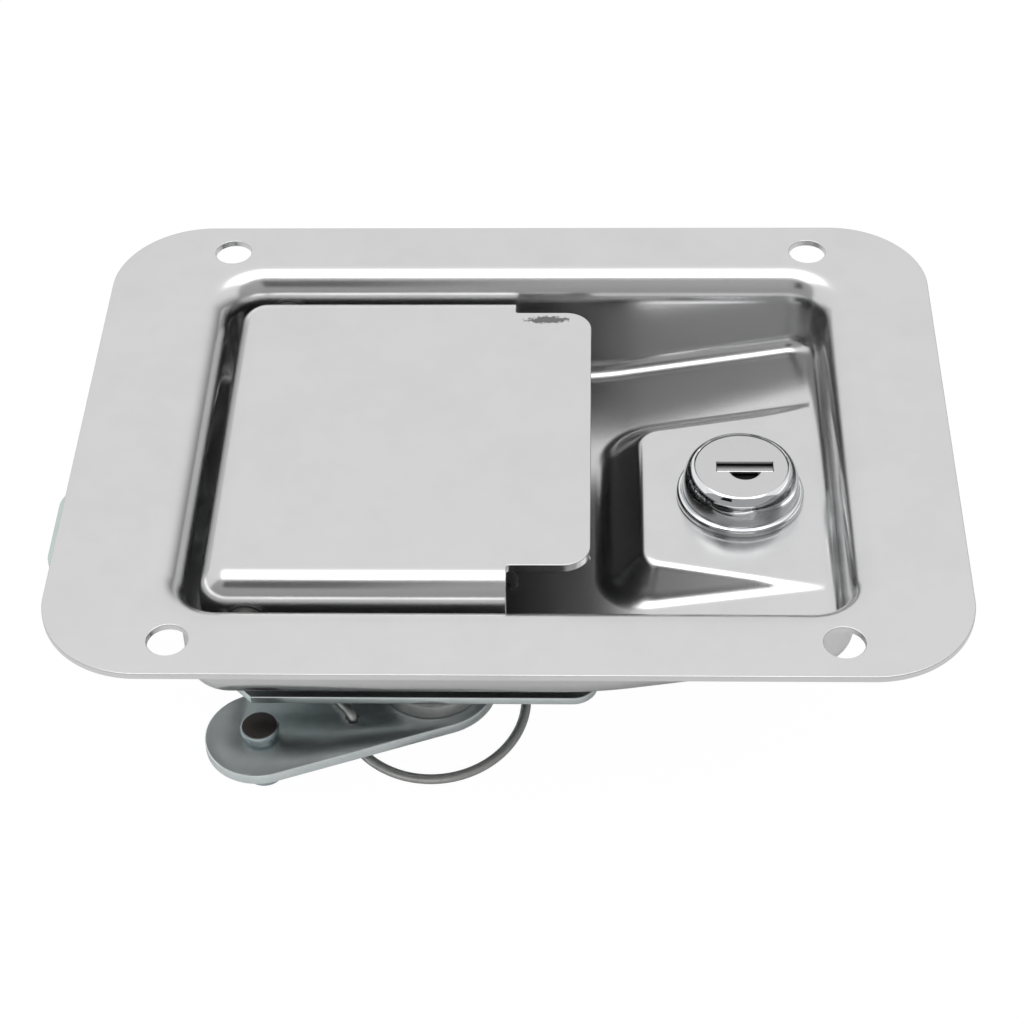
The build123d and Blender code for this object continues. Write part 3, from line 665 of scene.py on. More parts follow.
@dataclass(frozen=True)
class RolledStainless(Finish):
    """Bright-rolled 304 sheet, pressed: a clean mirror with a fine rolling grain, handling smudges
    that turn the mirror slightly dull, a panel that is never quite flat, and painted shade below."""

    grain_mm: float = 0.35
    grain_length_mm: float = 14.0
    smudge_mm: float = 16.0
    waviness_mm: float = 26.0
    scuff_x: float = 5.2
    scuff_y: float = 28.6
    scuff_length: float = 3.9
    scuff_width: float = 0.95
    scuff_colour: str = "4A4A4A"
    wave_height: float = 0.00012
    grain_depth: float = 0.0000035
    has_scuff: bool = False
    # Painted shade: the colour given to faces that look down.
    underside: str = "6E6E6E"

    def build(self) -> Mat:
        """Make the material."""
        material, tree, shader, mm = self.start()
        across, along = 1 / self.grain_mm, 1 / self.grain_length_mm
        grain_place = add_node(tree, "ShaderNodeMapping", None, {"Vector": mm, "Scale": (across, along, across)})
        noises = [
            {"Vector": grain_place.outputs["Vector"], "Scale": 1.0, "Detail": 3.0},
            {"Vector": mm, "Scale": 1 / self.smudge_mm, "Detail": 6.0, "Roughness": 0.62},
            {"Vector": mm, "Scale": 1 / self.waviness_mm, "Detail": 1.0},
        ]
        grain, smudge, wave = (add_node(tree, "ShaderNodeTexNoise", None, inputs) for inputs in noises)
        stain = add_node(
            tree, "ShaderNodeMapRange", None, {"Value": smudge.outputs["Fac"], "From Min": 0.42, "From Max": 0.7}
        )
        self.coat(tree, shader, stain.outputs["Result"], smudge.outputs["Fac"], (0.3, 0.75))
        if self.has_scuff:
            self.scuff(tree, mm, shader)
        # Painted shade on the faces that look down.
        self.dull_underside(tree, shader)
        swell = {"Height": wave.outputs["Fac"], "Strength": 1.0, "Distance": self.wave_height}
        wavy = add_node(tree, "ShaderNodeBump", None, swell)
        relief = {"Height": grain.outputs["Fac"], "Strength": 0.35, "Distance": self.grain_depth}
        fine = add_node(tree, "ShaderNodeBump", None, {"Normal": wavy.outputs["Normal"], **relief})
        tree.links.new(fine.outputs["Normal"], shader.inputs["Normal"])
        return material

    def dull_underside(self, tree: Tree, shader: Node) -> None:
        """Paint the faces that look down darker grey: painted shade for the dim side under the dish."""
        place = add_node(tree, "ShaderNodeTexCoord")
        axes = add_node(tree, "ShaderNodeSeparateXYZ", None, {"Vector": place.outputs["Normal"]})
        turn = {"Value": axes.outputs["Z"], "From Min": -0.75, "From Max": -0.95}
        down = add_node(tree, "ShaderNodeMapRange", None, turn)
        blend_input(tree, shader.inputs["Base Color"], down.outputs["Result"], linear(self.underside))

    def scuff(self, tree: Tree, mm: Socket, shader: Node) -> None:
        """Rub a short dark mark into the sheet.

        Args:
            tree: The material's tree.
            mm: The coordinates' socket.
            shader: The metal's shader, coated already.
        """
        stretch = (1 / self.scuff_length, 1 / self.scuff_width)
        shift = (-self.scuff_x * stretch[0], -self.scuff_y * stretch[1], 0.0)
        frame_in = {"Vector": mm, "Location": shift, "Scale": (*stretch, 0.02)}
        centred = add_node(tree, "ShaderNodeMapping", {"vector_type": "POINT"}, frame_in)
        reach = add_node(tree, "ShaderNodeVectorMath", {"operation": "LENGTH"}, {0: centred.outputs["Vector"]})
        speckle = add_node(tree, "ShaderNodeTexNoise", None, {"Vector": mm, "Scale": 1.4, "Detail": 5.0})
        raggedness = {0: speckle.outputs["Fac"], 1: 1.7, 2: -0.85}
        ragged = add_node(tree, "ShaderNodeMath", {"operation": "MULTIPLY_ADD"}, raggedness)
        both = {0: reach.outputs["Value"], 1: ragged.outputs["Value"]}
        total = add_node(tree, "ShaderNodeMath", {"operation": "ADD"}, both)
        edge = {"Value": total.outputs["Value"], "From Min": 1.05, "From Max": 0.75, "To Max": 0.85}
        mask = add_node(tree, "ShaderNodeMapRange", SMOOTH, edge)
        blend_input(tree, shader.inputs["Base Color"], mask.outputs["Result"], linear(self.scuff_colour))
        blend_input(tree, shader.inputs["Roughness"], mask.outputs["Result"], 0.5)


@dataclass(frozen=True)
class ZincPlate(Finish):
    """Blue-passivated zinc on steel: a satin metal with a cold tint and soft cloudy mottling."""

    mottle_mm: float = 5.0
    pit_mm: float = 0.5
    relief: float = 0.0000004

    def build(self) -> Mat:
        """Make the material."""
        material, tree, shader, mm = self.start()
        cloud = {"Vector": mm, "Scale": 1 / self.mottle_mm, "Detail": 5.0, "Roughness": 0.65}
        mottle = add_node(tree, "ShaderNodeTexNoise", None, cloud)
        self.coat(tree, shader, mottle.outputs["Fac"], mottle.outputs["Fac"], (0.3, 0.7))
        grit = {"Vector": mm, "Scale": 1 / self.pit_mm, "Detail": 3.0, "Roughness": 0.6}
        pits = add_node(tree, "ShaderNodeTexNoise", None, grit)
        depth = {"Height": pits.outputs["Fac"], "Strength": 0.5, "Distance": self.relief}
        bump = add_node(tree, "ShaderNodeBump", None, depth)
        tree.links.new(bump.outputs["Normal"], shader.inputs["Normal"])
        return material


@dataclass(frozen=True)
class WornEnd(ZincPlate):
    """Zinc on a turned stud whose flat top end is coloured a matt dark brown-grey, inside
    a thin bright rim."""

    end_z: float = -26.43
    end_colour: str = "5A5453"

    def build(self) -> Mat:
        """Make the material."""
        material = super().build()
        tree = material.node_tree
        shader = tree.nodes["Principled BSDF"]
        place = add_node(tree, "ShaderNodeTexCoord")
        axes = add_node(tree, "ShaderNodeSeparateXYZ", None, {"Vector": place.outputs["Object"]})
        mask = add_node(
            tree, "ShaderNodeMath", {"operation": "GREATER_THAN"}, {0: axes.outputs["Z"], 1: self.end_z * MM}
        )
        blend_input(tree, shader.inputs["Base Color"], mask.outputs["Value"], linear(self.end_colour))
        blend_input(tree, shader.inputs["Roughness"], mask.outputs["Value"], 0.5)
        return material


@dataclass(frozen=True)
class SatinNickel(ZincPlate):
    """Satin nickel on the lock plug: an even, fine-brushed grey face, with painted shade
    that darkens the cuts below it."""

    face_z: float = -6.6
    clean_depth: float = 0.1
    dark_depth: float = 0.5
    grime: str = "262627"

    def build(self) -> Mat:
        """Make the material."""
        material = super().build()
        tree = material.node_tree
        shader = tree.nodes["Principled BSDF"]
        place = add_node(tree, "ShaderNodeTexCoord")
        axes = add_node(tree, "ShaderNodeSeparateXYZ", None, {"Vector": place.outputs["Object"]})
        # Painted shade: dark from a little below the face down into the cuts.
        low, high = ((self.face_z - depth) * MM for depth in (self.clean_depth, self.dark_depth))
        span = {"Value": axes.outputs["Z"], "From Min": low, "From Max": high}
        mask = add_node(tree, "ShaderNodeMapRange", None, span)
        blend_input(tree, shader.inputs["Base Color"], mask.outputs["Result"], linear(self.grime))
        blend_input(tree, shader.inputs["Roughness"], mask.outputs["Result"], 0.6)
        return material


@dataclass(frozen=True)
class PolishedPlating(Finish):
    """Bright chrome over a die casting: a near-perfect mirror with a slight orange peel."""

    peel_mm: float = 1.6

    def build(self) -> Mat:
        """Make the material."""
        material, tree, shader, mm = self.start()
        peel = add_node(tree, "ShaderNodeTexNoise", None, {"Vector": mm, "Scale": 1 / self.peel_mm, "Detail": 2.0})
        self.coat(tree, shader, peel.outputs["Fac"], peel.outputs["Fac"], (0.0, 1.0))
        bump = add_node(
            tree, "ShaderNodeBump", None, {"Height": peel.outputs["Fac"], "Strength": 0.4, "Distance": 0.00001}
        )
        tree.links.new(bump.outputs["Normal"], shader.inputs["Normal"])
        return material


# --- Stamped parts: dish and paddle ---


@dataclass
class Dish:
    """The drawn dish: flat flange, soft mouth, walls, ramps and the raised lock pad."""

    sheet: float = 1.2
    flange_length: float = 140.0
    flange_width: float = 108.0
    flange_corner_r: float = 16.0
    hole_x: float = 50.0
    hole_y: float = 47.0
    hole_r: float = 3.1
    pocket_x: float = 1.2
    pocket_length: float = 101.4
    pocket_width: float = 77.0
    pocket_corner_r: float = 6.0
    floor_z: float = -19.0
    floor_r: float = 2.8
    mouth_r: float = 4.9
    mouth_soft_length: float = 1.2
    mouth_soft_angle: float = 5.0
    ramp_x: float = 8.0
    ramp_bend_r: float = 60.0
    ramp_angle: float = 10.3
    pad_z: float = -12.8
    pad_x: float = 21.0
    pad_half_width: float = 15.7
    pad_spread: float = 0.212
    pad_wall_angle: float = 47.0
    pad_corner_r: float = 3.4
    pad_edge_r: float = 2.4
    pad_blend: float = 1.3
    lock_x: float = 37.05
    lock_hole_r: float = 9.1
    slot_x: float = -39.75
    slot_length: float = 13.7
    slot_width: float = 2.8
    slot_corner_r: float = 0.3
    slot_y: float = 6.0
    fine_step: float = 0.45
    coarse_step: float = 1.7
    edge_ease: float = 0.16

    def ramp_height(self, x: Array) -> Array:
        """The floor's height without the pad: flat, a long bend, then the ramp."""
        angle = math.radians(self.ramp_angle)
        bend_end = self.ramp_bend_r * math.sin(angle)
        run = np.clip(x - self.ramp_x, 0.0, None)
        arc = self.ramp_bend_r - np.sqrt(self.ramp_bend_r**2 - np.minimum(run, bend_end) ** 2)
        return self.floor_z + arc + np.clip(run - bend_end, 0.0, None) * math.tan(angle)

    def pad_height(self, x: Array, y: Array) -> Array:
        """The height of the pad's own surface: flat top, rounded edge, steep wall."""
        spread = math.atan(self.pad_spread)
        r = self.pad_corner_r
        side = np.array([math.cos(spread), math.sin(spread)])
        corner_x = self.pad_x + r
        corner_y = self.pad_half_width + r * math.tan(spread) - r / math.cos(spread)
        px, py = x - corner_x, np.abs(y) - corner_y
        along = np.clip(px * side[0] + py * side[1], 0.0, None)
        to_side = np.hypot(px - along * side[0], py - along * side[1])
        to_left = np.hypot(px, py - np.clip(py, None, 0.0))
        beyond = np.maximum(-px, -px * side[1] + py * side[0])
        distance = np.where(beyond > 0, np.minimum(to_side, to_left), beyond) - r
        slope = 1 / math.tan(math.radians(self.pad_wall_angle))
        s = -distance
        turn = math.radians(90 - self.pad_wall_angle)
        tangent = self.pad_edge_r * math.tan(turn / 2)
        flat = np.full_like(s, self.pad_z)
        arc_depth = np.clip(tangent - s, 0.0, self.pad_edge_r * math.sin(turn))
        rounded = self.pad_z - self.pad_edge_r + np.sqrt(self.pad_edge_r**2 - arc_depth**2)
        wall = self.pad_z + s * slope
        return np.where(s > tangent, flat, np.where(s > -tangent * math.cos(turn), rounded, wall))

    def floor_height(self, x: Array, y: Array) -> Array:
        """The pressed floor: ramps and pad run into each other over a small hollow radius."""
        ramp, pad = self.ramp_height(x), self.pad_height(x, y)
        near = np.clip(self.pad_blend - np.abs(ramp - pad), 0.0, None)
        return np.maximum(ramp, pad) + near**2 / (4 * self.pad_blend)

    def floor_normals(self, x: Array, y: Array) -> Array:
        """Upward normals of the floor, from its slopes."""
        h = 0.02
        dx = (self.floor_height(x + h, y) - self.floor_height(x - h, y)) / (2 * h)
        dy = (self.floor_height(x, y + h) - self.floor_height(x, y - h)) / (2 * h)
        return unit(np.column_stack([-dx, -dy, np.ones_like(dx)]))

    def mouth_profile(self) -> tuple[Array, Array]:
        """Offsets and heights down the mouth, from the flange to the wall.

        Returns:
            The offset outward from the wall and the height of each row.
        """
        soft = math.radians(self.mouth_soft_angle)
        angles = [soft * (i / 8) ** 2 for i in range(8)]
        lengths = [self.mouth_soft_length / 8] * 8
        turns = 20
        for i in range(turns):
            angles.append(soft + (math.pi / 2 - soft) * (i + 0.5) / turns)
            lengths.append(self.mouth_r * (math.pi / 2 - soft) / turns)
        steps = np.array(lengths)
        offset = np.concatenate([[0.0], -np.cumsum(np.cos(angles) * steps)])
        height = np.concatenate([[0.0], -np.cumsum(np.sin(angles) * steps)])
        return offset - offset[-1], self.sheet + height

    def wall_grid(self) -> Array:
        """Rows of points from the flange down the mouth and the wall to the floor."""
        base, out = rounded_box(
            self.pocket_x, 0.0, self.pocket_length, self.pocket_width, self.pocket_corner_r, 1.0, 22
        )
        offsets, heights = self.mouth_profile()
        rows = [at_height(base + o * out, z) for o, z in zip(offsets, heights)]
        foot_x = base[:, 0] - self.floor_r * out[:, 0]
        ramp_here = self.ramp_height(foot_x)
        slope = (self.ramp_height(foot_x + 0.05) - self.ramp_height(foot_x - 0.05)) / 0.1 * out[:, 0]
        tilt = np.arctan(slope)
        centre_z = ramp_here + self.floor_r / np.cos(tilt)
        wall_rows = 8
        for j in range(1, wall_rows + 1):
            rows.append(np.column_stack([base, heights[-1] + (centre_z - heights[-1]) * j / wall_rows]))
        turns = 14
        for j in range(1, turns + 1):
            angle = (math.pi / 2 - tilt) * j / turns
            inward = self.floor_r * (1 - np.cos(angle))
            z = centre_z - self.floor_r * np.sin(angle)
            rows.append(np.column_stack([base - inward[:, None] * out, z]))
        return np.array(rows)

    def inner_points(self, outline: Array, holes: Sequence[Array]) -> Array:
        """Free points for the floor: dense round the pad, wide apart under the paddle."""
        low, high = outline.min(axis=0), outline.max(axis=0)
        split = self.ramp_x - 2
        fine_x = np.arange(split, high[0], self.fine_step)
        fine_y = np.arange(low[1] + 0.3, high[1], self.fine_step)
        coarse_x = np.arange(low[0] + 0.6, split - 0.8, self.coarse_step)
        coarse_y = np.arange(low[1] + 0.6, high[1], self.coarse_step)
        fine = np.array(np.meshgrid(fine_x, fine_y)).reshape(2, -1).T
        coarse = np.array(np.meshgrid(coarse_x, coarse_y)).reshape(2, -1).T
        places = np.vstack([fine, coarse])
        keep = inside_loop(places, outline)
        for loop, clearance in [(outline, 0.3), *[(hole, 0.25) for hole in holes]]:
            if loop is not outline:
                keep &= ~inside_loop(places, loop)
            for point in loop:
                keep &= np.hypot(places[:, 0] - point[0], places[:, 1] - point[1]) > clearance
        return places[keep]

    def build(self, material: Mat, rivet_holes: Sequence[Array]) -> Obj:
        """Press the dish.

        Args:
            material: Its finish.
            rivet_holes: Loops in the floor for the bracket's rivets.

        Returns:
            The dish's object.
        """
        skin = Surface()
        grid = self.wall_grid()
        rows, columns, _ = grid.shape
        normals = grid_normals(grid, True, 1).reshape(rows, columns, 3)
        normals[0] = (0.0, 0.0, 1.0)
        last = grid[-1]
        normals[-1] = self.floor_normals(last[:, 0], last[:, 1])
        skin.add(grid.reshape(-1, 3), normals.reshape(-1, 3), strip_faces(rows, columns, True))
        rim, _ = rounded_box(0.0, 0.0, self.flange_length, self.flange_width, self.flange_corner_r, 4.0, 28)
        both = (-1, 1)
        holes = [circle(sx * self.hole_x, sy * self.hole_y, self.hole_r, 72) for sx in both for sy in both]
        flat, faces = fill_flat(rim, [grid[0][:, :2], *holes], np.empty((0, 2)))
        up = np.tile((0.0, 0.0, 1.0), (len(flat), 1))
        skin.add(at_height(flat, self.sheet), up, faces)
        size = (self.slot_length, self.slot_width, self.slot_corner_r)
        slots = [rounded_box(self.slot_x, side * self.slot_y, *size, 1.0, 3)[0] for side in both]
        floor_holes = [circle(self.lock_x, 0.0, self.lock_hole_r, 96), *slots, *rivet_holes]
        outline = grid[-1][:, :2]
        floor, faces = fill_flat(outline, floor_holes, self.inner_points(outline, floor_holes))
        heights = self.floor_height(floor[:, 0], floor[:, 1])
        count = len(outline)
        heights[:count] = grid[-1][:, 2]
        skin.add(np.column_stack([floor, heights]), self.floor_normals(floor[:, 0], floor[:, 1]), faces)
        sheet = close_sheet(skin.merged(), self.sheet, self.edge_ease)
        mesh = mesh_from_surface("dish_pressing", sheet)
        return link_piece("dish_pressing", mesh, material, "dish_body", ["dish"])


@dataclass
class Paddle:
    """The stamped paddle: flat lid, rolled on three sides, with a narrower free end."""

    sheet: float = 1.5
    top: float = 0.8
    left_x: float = -47.7
    notch_x: float = -0.2
    tip_x: float = 12.6
    width: float = 71.8
    roll_r: float = 4.8
    corner_r: float = 5.0
    skirt_z: float = -8.0
    end_skirt_z: float = -4.4
    tip_width: float = 61.2
    notch_r: float = 0.45
    tip_corner_r: float = 4.3
    lip_drop: float = 1.3
    hinge_x: float = -40.0
    hinge_z: float = -6.0
    boss_r: float = 5.0
    edge_ease: float = 0.14

    def skirt_path(self) -> tuple[Array, Array]:
        """The outer face of the skirts, from the back notch round the left end to the front.

        Returns:
            The points and their outward directions.
        """
        half = self.width / 2
        straight = np.arange(self.notch_x, self.left_x + self.corner_r, -0.8)
        points = [(x, half) for x in straight]
        ways = [(0.0, 1.0)] * len(points)
        points += arc(self.left_x + self.corner_r, half - self.corner_r, self.corner_r, 90, 90, 24)
        ways += arc(0.0, 0.0, 1.0, 90, 90, 24)
        for y in np.arange(half - self.corner_r - 1.0, 0.0, -1.0):
            points.append((self.left_x, float(y)))
        points.append((self.left_x, 0.0))
        ways += [(-1.0, 0.0)] * (len(points) - len(ways))
        mirrored = [(x, -y) for x, y in points[-2::-1]]
        mirrored_ways = [(a, -b) for a, b in ways[-2::-1]]
        return np.array(points + mirrored), np.array(ways + mirrored_ways)

    def skirt_ends(self, base: Array) -> Array:
        """How deep the skirt goes at each point: short at the end, with ears round the pin."""
        x, y = base[:, 0], base[:, 1]
        ear = self.hinge_z - np.sqrt(np.clip(self.boss_r**2 - (x - self.hinge_x) ** 2, 0.0, None))
        deep = np.minimum(self.skirt_z, np.where(np.abs(x - self.hinge_x) < self.boss_r, ear, 0.0))
        short_from = self.width / 2 - self.corner_r - 1.0
        blend = np.clip((np.abs(y) - short_from) / 4.0, 0.0, 1.0)
        blend = blend * blend * (3 - 2 * blend)
        return self.end_skirt_z + (deep - self.end_skirt_z) * blend

    def build(self, material: Mat) -> Obj:
        """Press the paddle.

        Args:
            material: Its finish.

        Returns:
            The paddle's object.
        """
        base, out = self.skirt_path()
        rows = []
        turns = 16
        for j in range(turns + 1):
            angle = math.pi / 2 * j / turns
            inward = self.roll_r * (1 - math.sin(angle))
            rows.append(at_height(base - inward * out, self.top - self.roll_r * (1 - math.cos(angle))))
        ends = self.skirt_ends(base)
        start_z = self.top - self.roll_r
        for j in range(1, 5):
            rows.append(np.column_stack([base, start_z + (ends - start_z) * j / 4]))
        grid = np.array(rows)
        count, columns, _ = grid.shape
        normals = grid_normals(grid, False, -1).reshape(count, columns, 3)
        normals[0] = (0.0, 0.0, 1.0)
        skin = Surface()
        faces = strip_faces(count, columns, False)
        skin.add(grid.reshape(-1, 3), normals.reshape(-1, 3), [f[::-1] for f in faces])
        tip_half = self.tip_width / 2
        cx, cy = self.tip_x - self.tip_corner_r, tip_half - self.tip_corner_r
        hx, hy = self.notch_x + self.notch_r, tip_half + self.notch_r
        hollow = arc(hx, hy, self.notch_r, 180, 90, 8)
        tip = [(x, -y) for x, y in hollow]
        tip += [(x, -tip_half) for x in np.arange(hx + 0.6, cx, 0.8)]
        tip += arc(cx, -cy, self.tip_corner_r, -90, 90, 18)
        tip += [(self.tip_x, y) for y in np.arange(-cy + 1.0, cy, 1.0)]
        tip += arc(cx, cy, self.tip_corner_r, 0, 90, 18)
        tip += [(x, tip_half) for x in np.arange(cx - 0.8, hx + 0.3, -0.8)]
        tip += hollow[::-1]
        outline = np.vstack([grid[0][:, :2], np.array(tip)])
        flat, faces = fill_flat(outline, [], self.inset_points(outline))
        up = np.tile((0.0, 0.0, 1.0), (len(flat), 1))
        skin.add(at_height(flat, self.top), up, faces)
        merged = skin.merged()
        at = merged.points[0]
        on_lip = (at[:, 0] > self.tip_x - 0.05) & (np.abs(at[:, 1]) < cy + 0.5) & (at[:, 2] > self.top - 0.01)
        thickness = np.where(on_lip, self.sheet + self.lip_drop, self.sheet)
        sheet = close_sheet(merged, thickness, self.edge_ease)
        mesh = mesh_from_surface("paddle_pressing", sheet)
        return link_piece("paddle_pressing", mesh, material, "paddle_body", ["paddle"])

    def inset_points(self, outline: Array) -> Array:
        """Free points for the flat lid, kept a little away from its outline."""
        xs = np.arange(self.left_x + 5, self.tip_x - 0.8, 2.0)
        ys = np.arange(-self.width / 2 + 5.2, self.width / 2 - 5, 2.0)
        places = np.array(np.meshgrid(xs, ys)).reshape(2, -1).T
        lip_row = np.array([(self.tip_x - 1.3, y) for y in np.arange(-26.0, 26.5, 1.0)])
        places = np.vstack([places[places[:, 0] < self.tip_x - 2.2], lip_row])
        keep = inside_loop(places, outline)
        for point in outline:
            keep &= np.hypot(places[:, 0] - point[0], places[:, 1] - point[1]) > 0.6
        return places[keep]


# --- Mechanism below the dish ---


class Side(Enum):
    """The mirrored halves of the mechanism."""

    FRONT = -1
    BACK = 1

    @property
    def label(self) -> str:
        """The side's name in piece and body names."""
        return self.name.lower()


def open_tree(name: str, inputs: dict[str, str]) -> tuple[Tree, Node]:
    """Start a geometry node tree with its named inputs.

    Args:
        name: The tree's name.
        inputs: The inputs' names, each with its kind of socket.

    Returns:
        The tree and the node that holds its inputs.
    """
    tree = bpy.data.node_groups.new(name, "GeometryNodeTree")
    for label, kind in {"Geometry": "Geometry", **inputs}.items():
        tree.interface.new_socket(label, in_out="INPUT", socket_type="NodeSocket" + kind)
    tree.interface.new_socket("Geometry", in_out="OUTPUT", socket_type="NodeSocketGeometry")
    return tree, add_node(tree, "NodeGroupInput")


def close_tree(tree: Tree, geometry: Socket, material: Mat) -> None:
    """End a geometry node tree: make its instances real, dress them and hand them out."""
    real = add_node(tree, "GeometryNodeRealizeInstances", None, {"Geometry": geometry})
    dress = {"Geometry": real.outputs["Geometry"], "Material": material}
    dressed = add_node(tree, "GeometryNodeSetMaterial", None, dress)
    add_node(tree, "NodeGroupOutput", None, {"Geometry": dressed.outputs["Geometry"]})


def wire_mesh(name: str, path: Sequence[Sequence[float]], radius: float, material: Mat) -> Mesh:
    """Sweep a round spring wire along a path with geometry nodes.

    Args:
        name: The mesh's name.
        path: The wire's centre line in millimetres.
        radius: The wire's radius in millimetres.
        material: The wire's finish.

    Returns:
        The wire's mesh, in place.
    """
    tree, source = open_tree("round_wire", {"Wire radius": "Float", "Wire sides": "Int"})
    size = {"Radius": source.outputs["Wire radius"], "Resolution": source.outputs["Wire sides"]}
    ring = add_node(tree, "GeometryNodeCurvePrimitiveCircle", None, size)
    sweep = {"Curve": source.outputs["Geometry"], "Profile Curve": ring.outputs["Curve"], "Fill Caps": True}
    swept = add_node(tree, "GeometryNodeCurveToMesh", None, sweep)
    smooth = add_node(tree, "GeometryNodeSetShadeSmooth", None, {"Geometry": swept.outputs["Mesh"]})
    close_tree(tree, smooth.outputs["Geometry"], material)
    curve = poly_curve(name + "_path", "3D", [path])
    mesh = settle(name, curve, tree, Wire_radius=radius * MM, Wire_sides=WIRE_SIDES)
    mark_sharp(mesh, math.radians(50))
    return mesh


def repeat_mesh(name: str, source: Mesh, places: Iterable[Sequence[float]], material: Mat) -> Mesh:
    """Set copies of one shape at given places with geometry nodes.

    Args:
        name: The new mesh's name.
        source: The shape, built round the origin.
        places: Where the copies go, in millimetres.
        material: The copies' finish.

    Returns:
        The mesh of all the copies, in place.
    """
    tree, inputs = open_tree("repeat_at_points", {"Shape": "Object"})
    shape = add_node(tree, "GeometryNodeObjectInfo", None, {"Object": inputs.outputs["Shape"]})
    dots = add_node(tree, "GeometryNodeMeshToPoints", None, {"Mesh": inputs.outputs["Geometry"]})
    spread = {"Points": dots.outputs["Points"], "Instance": shape.outputs["Geometry"]}
    copies = add_node(tree, "GeometryNodeInstanceOnPoints", None, spread)
    close_tree(tree, copies.outputs["Instances"], material)
    pattern = bpy.data.meshes.new(name + "_places")
    pattern.from_pydata([tuple(c * MM for c in place) for place in places], [], [])
    holder = bpy.data.objects.new(name + "_shape", source)
    bpy.context.scene.collection.objects.link(holder)
    mesh = settle(name, pattern, tree, Shape=holder)
    bpy.data.objects.remove(holder)
    mark_sharp(mesh)
    return mesh


def round_corners(points: Sequence[Array], radius: float, steps: int = 10) -> list[Array]:
    """Round the corners of a path of straight runs.

    Args:
        points: The path's corners.
        radius: The bends' radius.
        steps: How many steps each bend takes.

    Returns:
        The path with arcs at its corners.
    """
    path = [points[0]]
    for before, corner, after in zip(points, points[1:], points[2:]):
        a, b = unit(before - corner), unit(after - corner)
        half = math.acos(float(np.clip(np.dot(a, b), -1, 1))) / 2
        reach = radius / math.tan(half)
        middle = corner + unit(a + b) * radius / math.sin(half)
        start, end = corner + a * reach - middle, corner + b * reach - middle
        sweep = math.pi - 2 * half
        for i in range(steps + 1):
            t = i / steps
            mixed = start * math.sin((1 - t) * sweep) + end * math.sin(t * sweep)
            path.append(middle + mixed / math.sin(sweep))
    path.append(points[-1])
    return path


